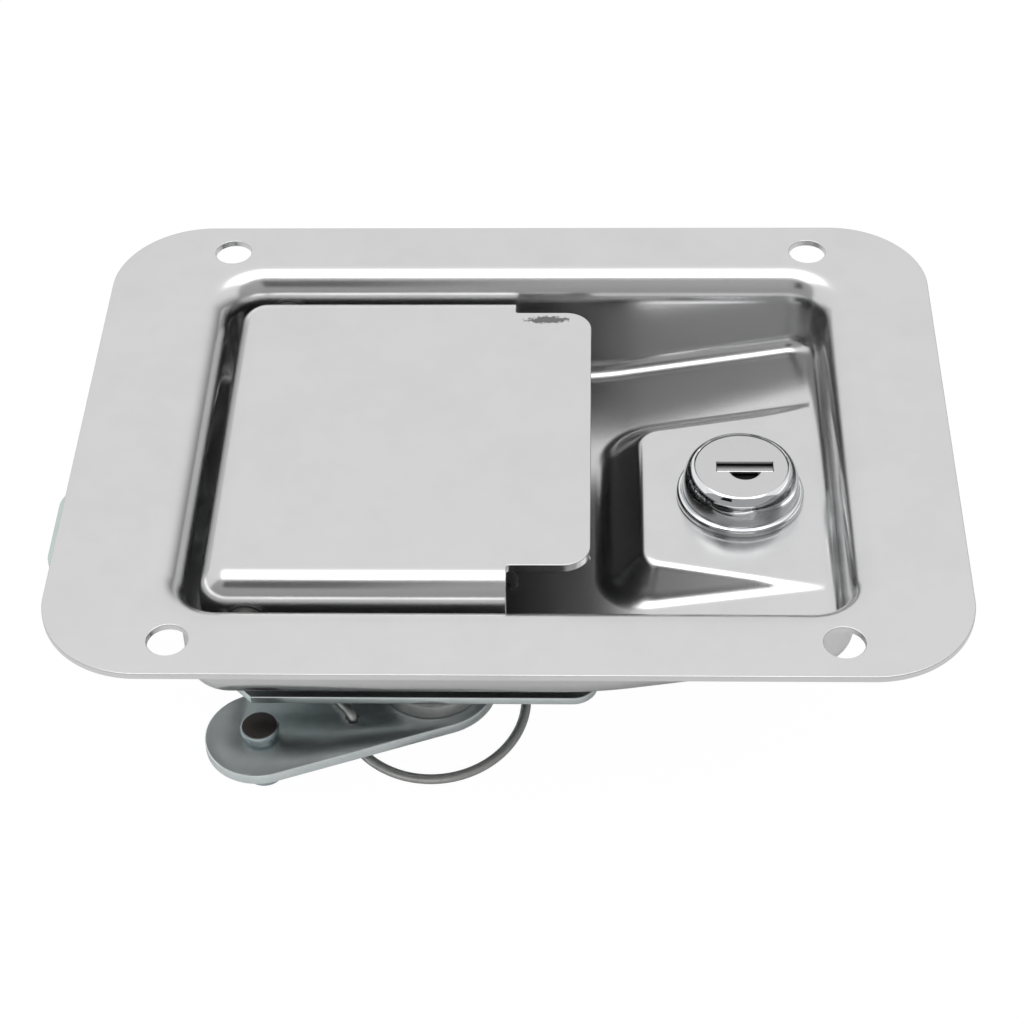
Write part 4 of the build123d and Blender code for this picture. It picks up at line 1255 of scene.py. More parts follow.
@dataclass
class CrankHalf:
    """One crank with its stud, bush and torsion spring."""

    side: Side
    hub_x: float = -12.8
    hub_y: float = 27.2
    top: float = -28.4
    thickness: float = 2.0
    hub_r: float = 10.5
    stud_end_r: float = 8.8
    stud_x: float = -39.5
    stud_y: float = 39.1
    fork_reach: float = 19.7
    fork_turn_x: float = -4.76
    fork_end_r: float = 6.6
    slot_half_width: float = 2.65
    slot_length: float = 12.5
    slot_shift: float = 3.0
    loop_r: float = 15.0
    loop_z: float = -33.4
    loop_tilt: float = 9.0
    wire_r: float = 0.8
    bend_r: float = 1.3
    fixed_leg_angle: float = 20.0
    moving_leg_angle: float = 215.0
    leg_top_z: float = -23.3
    hook_length: float = 5.4
    hook_angle: float = 128.0
    bush_r: float = 8.7
    bracket_bottom_z: float = -25.6

    @property
    def sign(self) -> int:
        """-1 in front and 1 at the back."""
        return self.side.value

    @property
    def body(self) -> str:
        """The crank's body."""
        return f"crank_{self.side.label}_body"

    def polar(self, reach: float, angle: float) -> tuple[float, float]:
        """A point at a reach and a direction from the hub, mirrored for the back crank."""
        turned = math.radians(angle)
        return self.hub_x + reach * math.cos(turned), self.sign * (self.hub_y - reach * math.sin(turned))

    def build_arm(self, material: Mat) -> Obj:
        """Blank the crank: a teardrop to the stud and a slotted fork to the slam bolt."""
        hub = (self.hub_x, self.sign * self.hub_y)
        stud = (self.stud_x, self.sign * self.stud_y)
        arm = hull_of_circles(hub, self.hub_r, stud, self.stud_end_r)
        fork_angle = math.degrees(math.atan2(self.fork_reach, self.fork_turn_x))
        reach = math.hypot(self.fork_reach, self.fork_turn_x)
        fork_end = self.polar(reach, fork_angle)
        fork = hull_of_circles(hub, self.fork_end_r, fork_end, self.fork_end_r)
        outline = outer_union(arm, fork)
        middle = self.polar(reach + self.slot_shift, fork_angle)
        slot = self.slot_loop(middle, math.radians(fork_angle) * -self.sign)
        leg_hole = circle(*self.polar(self.loop_r, self.moving_leg_angle), 1.1, 24)
        outline = notch(outline, slot)
        mesh = plate_mesh(f"crank_arm_{self.side.label}", [outline, leg_hole], self.top, self.thickness, 0.18)
        return link_piece(f"crank_arm_{self.side.label}", mesh, material, self.body, [f"crank_{self.side.label}"])

    def slot_loop(self, middle: tuple[float, float], angle: float) -> Array:
        """The fork's open slot, as a closed loop."""
        half = self.slot_length / 2 - self.slot_half_width
        way = np.array([math.cos(angle), math.sin(angle)])
        a, b = np.array(middle) - way * half, np.array(middle) + way * half
        return hull_of_circles(tuple(a), self.slot_half_width, tuple(b), self.slot_half_width - 1e-6)

    def build_stud(self, material: Mat) -> Obj:
        """Turn the headed stud that takes the rod."""
        profile = [
            (0.0, -26.4),
            (2.7, -26.4),
            (2.95, -26.5),
            (3.05, -26.72),
            (3.05, -27.3),
            (2.95, -27.4),
            (2.5, -27.4),
            (2.5, -30.4),
            (2.9, -30.4),
            (3.0, -30.5),
            (3.0, -37.5),
            (2.2, -38.3),
            (0.0, -38.3),
        ]
        mesh = lathe_mesh(f"stud_{self.side.label}", profile, self.stud_x, self.sign * self.stud_y)
        return link_piece(f"stud_{self.side.label}", mesh, material, self.body, [f"rod_stud_{self.side.label}"])

    def build_bush(self, material: Mat) -> Obj:
        """Turn the bush between the bracket and the crank."""
        top, foot = self.bracket_bottom_z, self.top + 0.1
        profile = [
            (3.05, top),
            (self.bush_r - 0.1, top),
            (self.bush_r, top - 0.1),
            (self.bush_r, foot + 0.35),
            (self.bush_r - 0.1, foot + 0.12),
            (self.bush_r - 0.3, foot),
            (3.05, foot),
        ]
        mesh = lathe_mesh(f"bush_{self.side.label}", profile, self.hub_x, self.sign * self.hub_y)
        return link_piece(f"bush_{self.side.label}", mesh, material, "dish_body", [f"hub_bush_{self.side.label}"])

    def build_spring(self, material: Mat) -> Obj:
        """Bend the torsion wire: a leg through the bracket, the bow round the hub and a hook on the crank."""
        sign = self.sign
        tilt = math.radians(self.loop_tilt)

        def on_loop(angle: float) -> Array:
            """A point of the tilted bow, at an angle round the hub."""
            turned = math.radians(angle)
            x, y = self.loop_r * math.cos(turned), self.loop_r * math.sin(turned)
            level = sign * (self.hub_y - y * math.cos(tilt))
            return np.array([self.hub_x + x, level, self.loop_z + y * math.sin(tilt)])

        start_angle, end_angle = self.fixed_leg_angle, self.moving_leg_angle - 360
        bow = [on_loop(start_angle + (end_angle - start_angle) * i / 96) for i in range(97)]
        top = np.array([*bow[0][:2], self.leg_top_z])
        hook_start = np.array([*bow[-1][:2], self.top + self.wire_r + 0.1])
        turned = math.radians(self.hook_angle)
        hook = hook_start + self.hook_length * np.array([math.cos(turned), -sign * math.sin(turned), 0.0])
        head = round_corners([top, bow[0], bow[4]], self.bend_r)
        tail = round_corners([bow[-5], bow[-1], hook_start, hook], self.bend_r)
        path = [*head[:-1], *bow[4:-5], *tail]
        name = f"crank_wire_{self.side.label}"
        mesh = wire_mesh(name, path, self.wire_r, material)
        piece = link_piece(name, mesh, material, "", [f"crank_spring_{self.side.label}"])
        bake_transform(piece)
        return piece


@dataclass
class HingeSpring:
    """The torsion spring on the paddle's pin, with a leg on the web and one on the floor."""

    x: float = -40.0
    z: float = -6.0
    coil_r: float = 2.65
    turns: float = 4.25
    pitch: float = 1.4
    wire_r: float = 0.6
    web_leg: float = 2.6
    floor_leg: float = 12.2

    def build(self, material: Mat) -> Obj:
        """Wind the wire on the pin, with the start and hand that best fill the CAD spring's box."""
        spots = np.array([v.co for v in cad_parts["paddle_spring"].data.vertices]) / MM
        length = self.turns * self.pitch
        steps = 160
        best, path = None, None
        for start in np.radians(np.arange(0, 360, 90)):
            for turn in (-1, 1):
                angles = start + turn * np.linspace(0, 2 * math.pi * self.turns, steps + 1)
                along = np.linspace(-length / 2, length / 2, steps + 1)
                across = self.x + self.coil_r * np.cos(angles)
                coil = np.column_stack([across, along, self.z + self.coil_r * np.sin(angles)])
                first, last = unit(coil[0] - coil[1]), unit(coil[-1] - coil[-2])
                trial = np.vstack([coil[0] + first * self.web_leg, coil, coil[-1] + last * self.floor_leg])
                low, high = spots.min(axis=0) - trial.min(axis=0), spots.max(axis=0) - trial.max(axis=0)
                reach = np.abs(low) + np.abs(high)
                if best is None or reach.sum() < best:
                    best, path = float(reach.sum()), trial
        log.info("hinge spring path is within %.2f mm of its box", best)
        mesh = wire_mesh("hinge_spring", path, self.wire_r, material)
        piece = link_piece("hinge_spring", mesh, material, "", ["paddle_spring"])
        start, end = tuple(float(c) * MM for c in path[-2]), tuple(float(c) * MM for c in path[1])
        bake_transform(piece)
        return piece


@dataclass(frozen=True)
class EasedPart:
    """A plain part whose CAD shape only needs eased edges and its finish."""

    node: str
    body: str
    slot: str
    finish: Mat
    ease: float

    def build(self) -> Obj:
        """Copy the CAD shape, ease it and dress it."""
        mesh = eased_copy(self.node, self.ease)
        piece = link_piece(f"{self.node}_dressed", mesh, self.finish, self.body, [self.node])
        return piece


def outer_union(first: Array, second: Array) -> Array:
    """The outline round two overlapping convex outlines, anticlockwise.

    Args:
        first: One outline.
        second: The other outline.

    Returns:
        The outline of both together.
    """
    both = [(first, second), (second, first)]
    pieces = []
    for loop, other in both:
        outside = ~inside_loop(loop, other)
        n = len(loop)
        starts = [i for i in range(n) if outside[i] and not outside[i - 1]]
        for s in starts:
            run, i = [], s
            while outside[i % n] and len(run) < n:
                run.append(loop[i % n])
                i += 1
            before, after = loop[s - 1], loop[i % n]
            pieces.append((crossing(before, run[0], other), np.array(run), crossing(run[-1], after, other)))
    path = []
    current = pieces.pop(0)
    while True:
        path += [current[0], *current[1], current[2]]
        if not pieces:
            break
        gaps = [float(np.hypot(*(p[0] - current[2]))) for p in pieces]
        current = pieces.pop(int(np.argmin(gaps)))
    loop = np.array(path)
    keep = np.hypot(*(loop - np.roll(loop, 1, axis=0)).T) > 1e-3
    return loop[keep]


def crossing(a: Array, b: Array, loop: Array) -> Array:
    """Where the run from a to b crosses a loop."""
    for c, d in zip(loop, np.roll(loop, -1, axis=0)):
        r, s = b - a, d - c
        cross = r[0] * s[1] - r[1] * s[0]
        if abs(cross) < 1e-12:
            continue
        t = ((c - a)[0] * s[1] - (c - a)[1] * s[0]) / cross
        u = ((c - a)[0] * r[1] - (c - a)[1] * r[0]) / cross
        if -1e-9 <= t <= 1 + 1e-9 and -1e-9 <= u <= 1 + 1e-9:
            return a + r * t
    return (a + b) / 2


def notch(outline: Array, cut: Array) -> Array:
    """Take an overlapping convex cut out of an outline's edge.

    Args:
        outline: The plate's outline, anticlockwise.
        cut: The cut's loop, anticlockwise, which crosses the outline twice.

    Returns:
        The outline with the cut taken in.
    """
    n, m = len(outline), len(cut)
    gone = inside_loop(outline, cut)
    if not gone.any():
        return outline
    start = next(i for i in range(n) if not gone[i] and gone[i - 1])
    run, i = [], start
    while not gone[i % n]:
        run.append(outline[i % n])
        i += 1
    entry = crossing(run[-1], outline[i % n], cut)
    exit_point = crossing(outline[start - 1], run[0], cut)
    within = inside_loop(cut, outline)
    first = next(k for k in range(m) if within[k] and not within[(k + 1) % m])
    inner, k = [], first
    while within[k % m]:
        inner.append(cut[k % m])
        k -= 1
    return np.array([*run, entry, *inner, exit_point])


@dataclass
class Bracket:
    """The mechanism bracket: a flat zinc-plated plate below the dish, on riveted rails."""

    top: float = -24.1
    thickness: float = 1.5
    left_x: float = -43.6
    right_x: float = 13.8
    width: float = 70.4
    rivet_r: float = 2.0
    rivet_xs: tuple[float, ...] = (-27.0, -2.5)
    rivet_y: float = 14.3
    rivet_head_r: float = 3.4
    flush_head: float = 0.06
    rivet_head: float = 1.1
    floor_z: float = -19.0
    chamfer: float = 2.5
    corner_r: float = 4.0
    notch_x: float = -31.2
    notch_y: float = 6.0
    notch_half: float = 1.4
    hub_x: float = -12.8
    hub_y: float = 27.2
    hub_rivet_r: float = 3.0
    drive_y: float = 7.5
    drive_reach: float = 5.265
    drive_half: float = 2.8
    leg_x: float = 1.295
    leg_y: float = 22.07
    leg_r: float = 1.1

    def rivet_holes(self) -> list[Array]:
        """Loops for the rivets in the dish's floor."""
        return [circle(x, s * self.rivet_y, self.rivet_r, 32) for x in self.rivet_xs for s in (-1, 1)]

    def outline(self) -> Array:
        """The plate's outline: chamfers at the left, arcs at the right, notches for the fingers."""
        half, left, right = self.width / 2, self.left_x, self.right_x
        points = [(left, -half + self.chamfer), (left + self.chamfer, -half)]
        for start, side in ((-90, -1), (0, 1)):
            points += arc(right - self.corner_r, side * (half - self.corner_r), self.corner_r, start, 90, 12)
        points += [(left + self.chamfer, half), (left, half - self.chamfer)]
        for y in (self.notch_y, -self.notch_y):
            points += [(left, y + self.notch_half), (self.notch_x, y + self.notch_half)]
            points += [(self.notch_x, y - self.notch_half), (left, y - self.notch_half)]
        return np.array(points)

    def build_plate(self, material: Mat) -> Obj:
        """Blank the plate with its slots and holes."""
        holes = self.rivet_holes()
        for side in (-1, 1):
            a = (self.hub_x - self.drive_reach, side * self.drive_y)
            b = (self.hub_x + self.drive_reach, side * self.drive_y)
            holes.append(hull_of_circles(a, self.drive_half, b, self.drive_half - 1e-6))
            holes.append(circle(self.hub_x, side * self.hub_y, self.hub_rivet_r, 40))
            holes.append(circle(self.leg_x, side * self.leg_y, self.leg_r, 24))
        mesh = plate_mesh("bracket_plate", [self.outline(), *holes], self.top, self.thickness, 0.2)
        return link_piece("bracket_plate", mesh, material, "dish_body", ["mechanism_bracket"])

    def build_rivets(self, material: Mat) -> Obj:
        """Set the four rivets, one shape repeated at each place with geometry nodes."""
        low, high, head = self.top - self.thickness, self.floor_z, self.rivet_head
        profile = [(0.0, high + self.flush_head)]
        for i in range(1, 9):
            angle = math.radians(90 - 11.25 * i)
            profile.append((self.rivet_head_r * math.cos(angle), high + self.flush_head * math.sin(angle) ** 0.8))
        profile += [(self.rivet_r, high), (self.rivet_r, low)]
        for i in range(8, 0, -1):
            angle = math.radians(90 - 11.25 * i)
            profile.append((self.rivet_head_r * math.cos(angle), low - head * math.sin(angle) ** 0.8))
        profile.append((0.0, low - head))
        rivet = lathe_mesh("rivet", profile, 0.0, 0.0, 48)
        places = [(x, side * self.rivet_y, 0.0) for x in self.rivet_xs for side in (-1, 1)]
        mesh = repeat_mesh("bracket_rivet_set", rivet, places, material)
        return link_piece("bracket_rivet_set", mesh, material, "dish_body", ["bracket_rivets"])


# --- Key lock ---


@dataclass
class KeyLock:
    """The key lock: its plated housing, the turning plug and the dust shutter."""

    x: float = 37.05
    pad_z: float = -12.8
    body_r: float = 9.0
    flange_r: float = 10.4
    flange_thickness: float = 1.5
    flange_roll_r: float = 0.6
    dome_r: float = 9.6
    shoulder_r: float = 9.5
    face_z: float = -6.35
    end_z: float = -24.0
    plug_r: float = 7.6
    plug_z: float = -6.6
    plug_edge: float = 0.12
    slot_x: float = 37.6
    slot_half: float = 4.65
    slot_front_y: float = -1.3
    slot_back_y: float = 1.15
    well_r: float = 2.75
    well_y: float = -0.5
    well_bevel: float = 0.42
    well_depth: float = 0.9
    keyway_depth: float = 12.9
    tail_half: float = 3.0
    tail_z: float = -26.3
    hinge_y: float = 0.4
    hinge_z: float = -7.98
    barrel_r: float = 0.5
    barrel_lift: float = 0.1
    plate_back_y: float = 0.8
    plate_back_drop: float = 0.62
    plate_thickness: float = 0.42

    def build_housing(self, material: Mat) -> Obj:
        """Turn the housing: barrel, seat, flange with a rolled edge, dome and narrow rim."""
        seat = self.pad_z
        ledge = seat + self.flange_thickness
        profile = [
            (self.plug_r + 0.05, self.end_z),
            (self.body_r - 0.2, self.end_z),
            (self.body_r, self.end_z + 0.2),
            (self.body_r, seat),
            (self.flange_r - 0.2, seat),
            (self.flange_r, seat + 0.2),
        ]
        roll_r = self.flange_roll_r
        profile += arc(self.flange_r - roll_r, ledge - 0.75, roll_r, 0, 90, 8)
        profile += [(self.dome_r + 0.05, ledge - 0.3), (self.dome_r, ledge - 0.2)]
        foot, shoulder = (self.dome_r, ledge + 0.1), (self.shoulder_r, self.face_z - 0.7)
        rim = (self.plug_r + 0.12, self.face_z)
        for i in range(25):
            t = i / 24
            weights = ((1 - t) ** 2, 2 * t * (1 - t), t * t)
            profile.append(tuple(sum(w * p[k] for w, p in zip(weights, (foot, shoulder, rim))) for k in (0, 1)))
        profile.append((self.plug_r + 0.05, self.face_z - 0.08))
        mesh = lathe_mesh("lock_bezel", profile, self.x, 0.0, 144)
        return link_piece("lock_bezel", mesh, material, "dish_body", ["lock_housing"])

    def mouth_loop(self, shrink: float) -> Array:
        """The slot and the finger well as one outline, drawn in by an amount.

        Args:
            shrink: How far inside the face's own outline the loop runs.

        Returns:
            The loop's points, anticlockwise.
        """
        inward = shrink / 6
        half, front, back = self.slot_half - inward, self.slot_front_y + inward, self.slot_back_y - inward
        r = self.well_r - shrink
        reach = math.asin((self.well_y - front) / r)
        arc = [math.pi + reach + (math.pi - 2 * reach) * i / 32 for i in range(33)]
        well = [(r * math.cos(a), self.well_y + r * math.sin(a)) for a in arc]
        places = [(half, back), (-half, back), (-half, front), *well, (half, front)]
        return np.array(places) + (self.slot_x, 0.0)

    def keyway_loop(self) -> Array:
        """The keyway below the mouth, anticlockwise."""
        half, front, back = self.slot_half - 0.08, self.slot_front_y + 0.08, self.slot_back_y - 0.08
        return np.array([(half, back), (-half, back), (-half, front), (half, front)]) + (self.slot_x, 0.0)

    def build_plug(self, material: Mat) -> Obj:
        """Cut the plug: flat face, slot with a finger well, keyway and square tail."""
        body = Surface()

        def wall(rings: Sequence[Array]) -> None:
            """Join loops that stand above each other."""
            grid = np.vstack(rings)
            body.add(grid, np.zeros_like(grid), strip_faces(len(rings), len(rings[0]), True))

        def cap(outline: Array, holes: Sequence[Array], z: float) -> None:
            """Fill a loop at a height, apart from its holes."""
            places, faces = fill_flat(outline, holes, np.empty((0, 2)))
            body.add(at_height(places, z), np.zeros((len(places), 3)), faces)

        top, foot = self.plug_z, self.end_z - 0.1
        outer, rim = circle(self.x, 0.0, self.plug_r, 128), circle(self.x, 0.0, self.plug_r - self.plug_edge, 128)
        wall([at_height(rim, top), at_height(outer, top - self.plug_edge), at_height(outer, foot)])
        mouth, bevelled, keyway = self.mouth_loop(0.0), self.mouth_loop(self.well_bevel), self.keyway_loop()
        floor, bottom = top - self.well_depth, top - self.keyway_depth
        cap(rim, [mouth], top)
        wall([at_height(mouth, top), at_height(bevelled, top - self.well_bevel), at_height(bevelled, floor)])
        cap(bevelled, [keyway], floor)
        wall([at_height(keyway, floor), at_height(keyway, bottom)])
        cap(keyway, [], bottom)
        t = self.tail_half
        tail = np.array([(t, t), (-t, t), (-t, -t), (t, -t)]) + (self.x, 0.0)
        cap(outer, [tail], foot)
        wall([at_height(tail, foot), at_height(tail, self.tail_z)])
        cap(tail, [], self.tail_z)
        mesh = solid_mesh("lock_plug_face", body)
        return link_piece("lock_plug_face", mesh, material, "plug_body", ["lock_plug"])

    def build_shutter(self, material: Mat) -> Obj:
        """Form the dust shutter: a sloping plate whose front edge meets the face, on a barrel."""
        half = self.slot_half - 0.12
        low, high = self.plug_z - self.plate_back_drop, self.plug_z - 0.03
        front = self.slot_front_y + 0.05
        section = [
            (self.plate_back_y, low),
            (front + 0.12, high),
            (front + 0.03, high - 0.04),
            (front, high - 0.12),
            (front, high - self.plate_thickness),
            (self.plate_back_y, low - self.plate_thickness),
        ]
        barrel = circle(self.hinge_y, self.hinge_z + self.barrel_lift, self.barrel_r, 24)
        body = Surface()
        for loop in (section, barrel):
            ends = [np.array([(self.slot_x + x, y, z) for y, z in loop]) for x in (-half, half)]
            grid = np.vstack(ends)
            n = len(loop)
            body.add(grid, np.zeros_like(grid), strip_faces(2, n, True))
            body.add(grid, np.zeros_like(grid), [tuple(range(n)), tuple(range(2 * n - 1, n - 1, -1))])
        mesh = solid_mesh("lock_shutter_plate", body)
        return link_piece("lock_shutter_plate", mesh, material, "shutter_body", ["lock_shutter"])


# --- Stage ---


@dataclass
class Studio:
    """A white paper floor, an even white world, cards that only reflections see, and the camera."""

    floor_z: float = -38.6
    paper_glow: float = 0.96
    low_light: float = 0.12
    camera_x: float = 13.317
    camera_y: float = -305.982
    camera_z: float = 270.823
    yaw: float = -2.580
    pitch: float = 43.211
    roll: float = -1.632
    lens: float = 89.13

    def place_camera(self) -> None:
        """Stand the camera in front of the latch, looking down at it."""
        yaw, pitch, roll = (math.radians(a) for a in (self.yaw, self.pitch, self.roll))
        forward = Vector((math.sin(yaw) * math.cos(pitch), math.cos(yaw) * math.cos(pitch), -math.sin(pitch)))
        level = Vector((math.cos(yaw), -math.sin(yaw), 0.0))
        upright = level.cross(forward)
        right = level * math.cos(roll) + upright * math.sin(roll)
        up = upright * math.cos(roll) - level * math.sin(roll)
        data = bpy.data.cameras.new("camera")
        data.lens = self.lens
        data.sensor_width = 36.0
        data.clip_start = 0.01
        camera = bpy.data.objects.new("camera", data)
        turn = Matrix((right, up, -forward)).transposed().to_4x4()
        place = Vector((self.camera_x, self.camera_y, self.camera_z)) * MM
        camera.matrix_world = Matrix.Translation(place) @ turn
        bpy.context.scene.collection.objects.link(camera)
        bpy.context.scene.camera = camera

    def card(
        self, name: str, corners: Sequence[tuple[float, float, float]], colour: str, glow: float, soft: float = 0.0
    ) -> None:
        """Hang a flat card that only shows in reflections.

        Args:
            name: The card's name.
            corners: Its four corners in metres.
            colour: Its colour.
            glow: How strongly it shines.
            soft: How much of its width fades to plain white at its edges, as a share.
        """
        material = bpy.data.materials.new(name)
        material.use_nodes = True
        tree = material.node_tree
        tree.nodes.clear()
        shine = add_node(tree, "ShaderNodeEmission", None, {"Color": linear(colour), "Strength": glow})
        if soft > 0:
            tree.links.new(self.fade(tree, glow, soft), shine.inputs["Strength"])
        add_node(tree, "ShaderNodeOutputMaterial", None, {"Surface": shine.outputs["Emission"]})
        card = self.sheet(name, corners, material)
        card.visible_camera = False
        card.visible_diffuse = False
        card.visible_shadow = False

    def fade(self, tree: Tree, glow: float, soft: float) -> Socket:
        """A strength that falls from the card's middle to one at its edges.

        Args:
            tree: The card's material tree.
            glow: The strength in the middle.
            soft: The fading share of the width.

        Returns:
            The strength's socket.
        """
        place = add_node(tree, "ShaderNodeTexCoord")
        axes = add_node(tree, "ShaderNodeSeparateXYZ", None, {"Vector": place.outputs["Generated"]})
        edge = {"From Min": 0.5, "From Max": 0.5 - soft}
        share: Socket | float = glow - 1.0
        for axis in ("X", "Y"):
            centred = add_node(tree, "ShaderNodeMath", {"operation": "SUBTRACT"}, {0: axes.outputs[axis], 1: 0.5})
            away = add_node(tree, "ShaderNodeMath", {"operation": "ABSOLUTE"}, {0: centred.outputs["Value"]})
            near = add_node(tree, "ShaderNodeMapRange", SMOOTH, {"Value": away.outputs["Value"], **edge})
            product = {0: near.outputs["Result"], 1: share}
            share = add_node(tree, "ShaderNodeMath", {"operation": "MULTIPLY"}, product).outputs["Value"]
        return add_node(tree, "ShaderNodeMath", {"operation": "ADD"}, {0: share, 1: 1.0}).outputs["Value"]

    def light_world(self) -> None:
        """White all round, but darker low down on the lock's side."""
        world = bpy.data.worlds.new("studio")
        bpy.context.scene.world = world
        world.use_nodes = True
        tree = world.node_tree
        background = tree.nodes["Background"]
        background.inputs["Color"].default_value = linear("FFFFFF")
        place = add_node(tree, "ShaderNodeTexCoord")
        axes = add_node(tree, "ShaderNodeSeparateXYZ", None, {"Vector": place.outputs["Generated"]})
        rise = {"Value": axes.outputs["Z"], "From Min": 0.0, "From Max": 0.6, "To Min": self.low_light}
        low = add_node(tree, "ShaderNodeMapRange", SMOOTH, rise)
        reach = {"Value": axes.outputs["X"], "From Min": 0.02, "From Max": 0.5}
        side = add_node(tree, "ShaderNodeMapRange", SMOOTH, reach)
        shares = {"Factor": side.outputs["Result"], "A": 1.0, "B": low.outputs["Result"]}
        strength = add_node(tree, "ShaderNodeMix", {"data_type": "FLOAT"}, shares)
        tree.links.new(strength.outputs["Result"], background.inputs["Strength"])

    def paper(self) -> Mat:
        """White paper, as bare matt fibre: it takes the latch's faint shadow and looks almost even."""
        paper = bpy.data.materials.new("white_paper")
        paper.use_nodes = True
        tree = paper.node_tree
        shader = tree.nodes["Principled BSDF"]
        shader.inputs["Base Color"].default_value = linear("FCFCFC")
        shader.inputs["Roughness"].default_value = 0.9
        shader.inputs["Specular IOR Level"].default_value = 0.1
        seen = add_node(tree, "ShaderNodeLightPath")
        glow = add_node(tree, "ShaderNodeEmission", None, {"Color": linear("FFFFFF"), "Strength": 1.02})
        part = {0: seen.outputs["Is Camera Ray"], 1: self.paper_glow}
        share = add_node(tree, "ShaderNodeMath", {"operation": "MULTIPLY"}, part)
        blend = {"Fac": share.outputs["Value"], 1: shader.outputs["BSDF"], 2: glow.outputs["Emission"]}
        mixed = add_node(tree, "ShaderNodeMixShader", None, blend)
        tree.links.new(mixed.outputs["Shader"], tree.nodes["Material Output"].inputs["Surface"])
        return paper

    def sheet(self, name: str, corners: Sequence[tuple[float, float, float]], material: Mat) -> Obj:
        """Add one flat stage piece.

        Args:
            name: The piece's name.
            corners: Its four corners in metres.
            material: Its material.

        Returns:
            The piece's object.
        """
        mesh = bpy.data.meshes.new(name)
        mesh.from_pydata(list(corners), [], [(0, 1, 2, 3)])
        mesh.materials.append(material)
        piece = bpy.data.objects.new(name, mesh)
        bpy.context.scene.collection.objects.link(piece)
        return piece

    def build(self) -> None:
        """Lay the floor, light the world and hang the cards."""
        self.place_camera()
        scene = bpy.context.scene
        scene.view_settings.view_transform = "Standard"
        self.light_world()
        z = self.floor_z * MM
        self.sheet("floor", [(-3, -3, z), (3, -3, z), (3, 3, z), (-3, 3, z)], self.paper())
        self.hang_cards()

    def hang_cards(self) -> None:
        """Hang the softbox overhead, the grey room in front, the camera's bulk and a window."""
        top = 0.9
        overhead = [(-0.5, -0.62, top), (0.5, -0.62, top), (0.5, 0.5, top), (-0.5, 0.5, top)]
        self.card("overhead_softbox", overhead, "FFFFFF", 3.0, soft=0.16)
        self.card("grey_room", self.patch((-75, 75), (3, 54), 1.15), "ACACAC", 1.0)
        self.card("camera_bulk", self.patch((-40, -12), (40, 67), 0.3), "121212", 1.0)
        self.card("window", self.patch((14, 50), (38, 56), 0.85), "FFFFFF", 1.5)

    def patch(
        self, azimuths: tuple[float, float], elevations: tuple[float, float], reach: float
    ) -> list[tuple[float, float, float]]:
        """The corners of a card that faces the latch from the front.

        Args:
            azimuths: Its sides, in degrees right of straight in front.
            elevations: Its foot and its top, in degrees above the floor.
            reach: How far away it stands, in metres.

        Returns:
            The four corners in metres.
        """
        corners = []
        for a, e in ((0, 0), (1, 0), (1, 1), (0, 1)):
            side, lift = math.radians(azimuths[a]), math.radians(elevations[e])
            flat = reach * math.cos(lift)
            corners.append((flat * math.sin(side), -flat * math.cos(side), reach * math.sin(lift)))
        return corners


# --- Putting it together ---


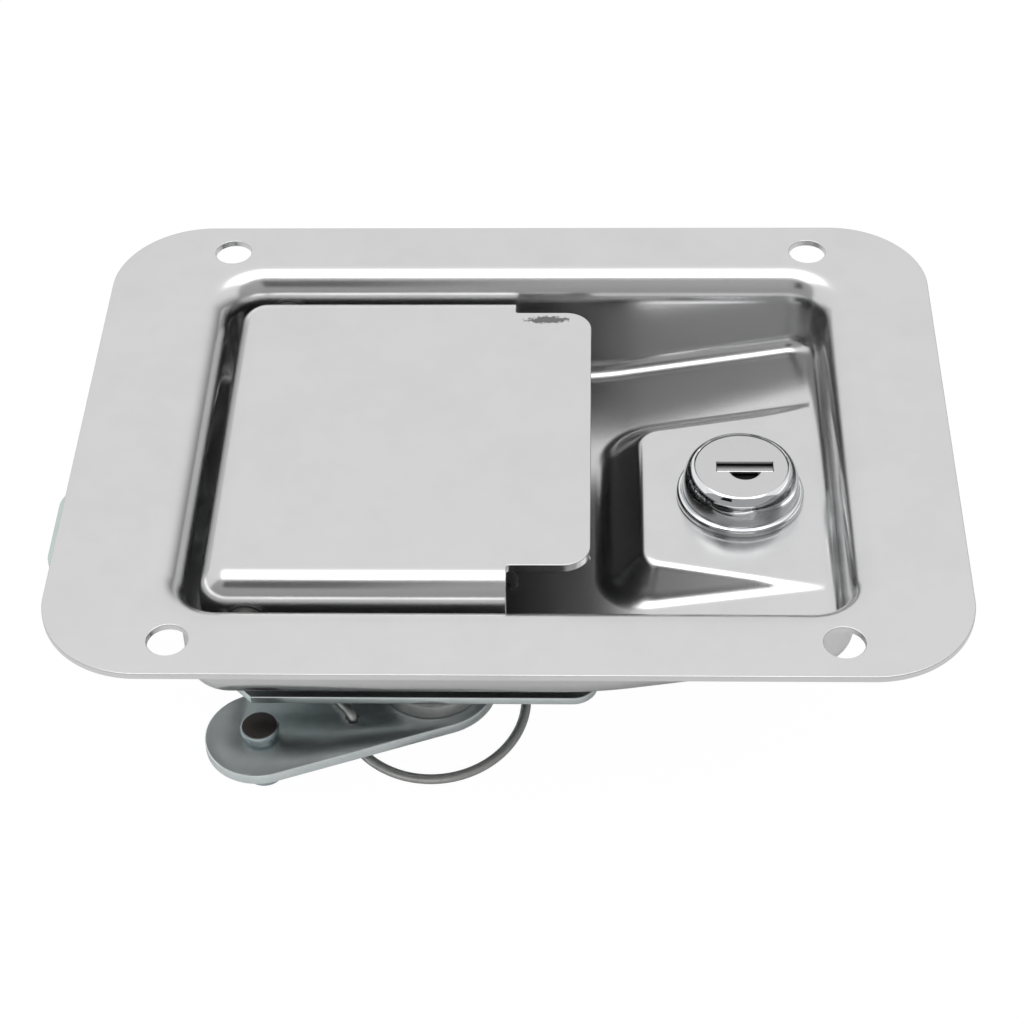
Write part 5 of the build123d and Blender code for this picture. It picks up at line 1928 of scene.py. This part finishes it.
def main() -> None:
    """Build the latch, piece by piece, and its stage."""
    logging.basicConfig(level=logging.INFO, format="%(name)s: %(message)s")
    # Bright-rolled 304 sheet: even, neutral and mirror-like, with faint cloudy wiping marks.
    stainless = RolledStainless("stainless_sheet", "D0D0D0", "CBCBCB", 0.20, 0.05).build()
    # The same sheet on the part that hands touch, with one dark rub near its free end.
    paddle_steel = RolledStainless("stainless_paddle", "D0D0D0", "CCCCCC", 0.20, 0.04, has_scuff=True).build()
    # Blue-passivated zinc on the crank and the bracket: cold, satin and slightly green-blue.
    zinc = ZincPlate("blue_zinc", "EBF0F0", "C6CFD0", 0.28, 0.1).build()
    # The same plating on the bolt, rubbed by the door: a little darker and shinier.
    bolt_zinc = ZincPlate("light_zinc", "CBD4D3", "B0BCBB", 0.24, 0.12).build()
    # Bare cold-headed steel: neutral grey, fairly bright.
    pin_steel = ZincPlate("bright_pin_steel", "C4C4C2", "A8A8A6", 0.2, 0.12).build()
    # Zinc on a turned stud: cold and satin, with a dark brown-grey top end.
    stud_steel = WornEnd("turned_stud_zinc", "CAD6D9", "969FA2", 0.26, 0.15).build()
    # Sintered steel: a grainy, dull mid grey.
    bush_steel = ZincPlate("sintered_bush", "D0D1CF", "969795", 0.3, 0.2, mottle_mm=2.2).build()
    # Hard-drawn spring wire with an oil film: dark streaks and a soft shine.
    wire = ZincPlate("oiled_spring_wire", "C4C4C2", "9C9C9B", 0.3, 0.12, mottle_mm=1.2).build()
    # Polished chrome plating on a zinc casting: it mirrors everything round it.
    chrome = PolishedPlating("bright_chrome", "E6E7E8", "DADCDE", 0.03, 0.03).build()
    # Satin nickel plating: an even, quiet grey face, with painted shade darkening its cuts.
    satin = SatinNickel("satin_nickel", "C6C6C6", "BEBEBE", 0.3, 0.06, mottle_mm=3.0).build()
    # Plain rolled steel strip on the shutter: a flat light grey.
    shutter_steel = ZincPlate("shutter_steel", "CCCCCC", "C0C0C0", 0.28, 0.06, mottle_mm=3.0).build()
    # Blackened steel on the collars, painted darker still as shade, since they sit in shade.
    collar_steel = ZincPlate("dark_collar", "5C5C5B", "4A4A49", 0.4, 0.1).build()
    # Stamped brass on the wafers: warm yellow, slightly dulled.
    brass = ZincPlate("wafer_brass", "C9A75A", "A98843", 0.3, 0.15).build()

    dish, paddle, bracket, lock = Dish(), Paddle(), Bracket(), KeyLock()
    dressed = [
        (dish.build(stainless, bracket.rivet_holes()), "stainless"),
        (paddle.build(paddle_steel), "stainless"),
        (lock.build_housing(chrome), "chrome"),
        (lock.build_plug(satin), "satin_plug"),
        (lock.build_shutter(shutter_steel), "shutter_steel"),
        (bracket.build_plate(zinc), "zinc_plate"),
        (bracket.build_rivets(pin_steel), "pin_steel"),
    ]
    for side in Side:
        half = CrankHalf(side)
        dressed += [
            (half.build_arm(zinc), "zinc_plate"),
            (half.build_stud(stud_steel), "stud_steel"),
            (half.build_bush(bush_steel), "bush_steel"),
            (half.build_spring(wire), "spring_steel"),
        ]

    hardware = [
        EasedPart("paddle_lever", "paddle_body", "zinc_plate", zinc, 0.2),
        EasedPart("paddle_pin", "dish_body", "pin_steel", pin_steel, 0.0),
        EasedPart("paddle_collars", "dish_body", "pin_steel", collar_steel, 0.15),
        EasedPart("bolt", "bolt_body", "zinc_bolt", bolt_zinc, 0.25),
        EasedPart("bolt_drive_pins", "bolt_body", "pin_steel", pin_steel, 0.0),
        EasedPart("guide_rail_front", "dish_body", "zinc_plate", zinc, 0.15),
        EasedPart("guide_rail_back", "dish_body", "zinc_plate", zinc, 0.15),
        EasedPart("lock_washer", "dish_body", "zinc_plate", zinc, 0.1),
        EasedPart("lock_nut", "dish_body", "zinc_plate", zinc, 0.3),
        EasedPart("lock_cam", "plug_body", "zinc_plate", zinc, 0.2),
        EasedPart("cam_screw", "plug_body", "pin_steel", pin_steel, 0.12),
        EasedPart("lock_wafers", "plug_body", "wafer_brass", brass, 0.0),
    ]
    for side in Side:
        hardware += [
            EasedPart(f"hub_washer_{side.label}", "dish_body", "bush_steel", bush_steel, 0.1),
            EasedPart(f"hub_rivet_{side.label}", "dish_body", "pin_steel", pin_steel, 0.0),
        ]
    for part in hardware:
        part.build()
    HingeSpring().build(wire)
    Studio().build()


if __name__ == "__main__":
    main()
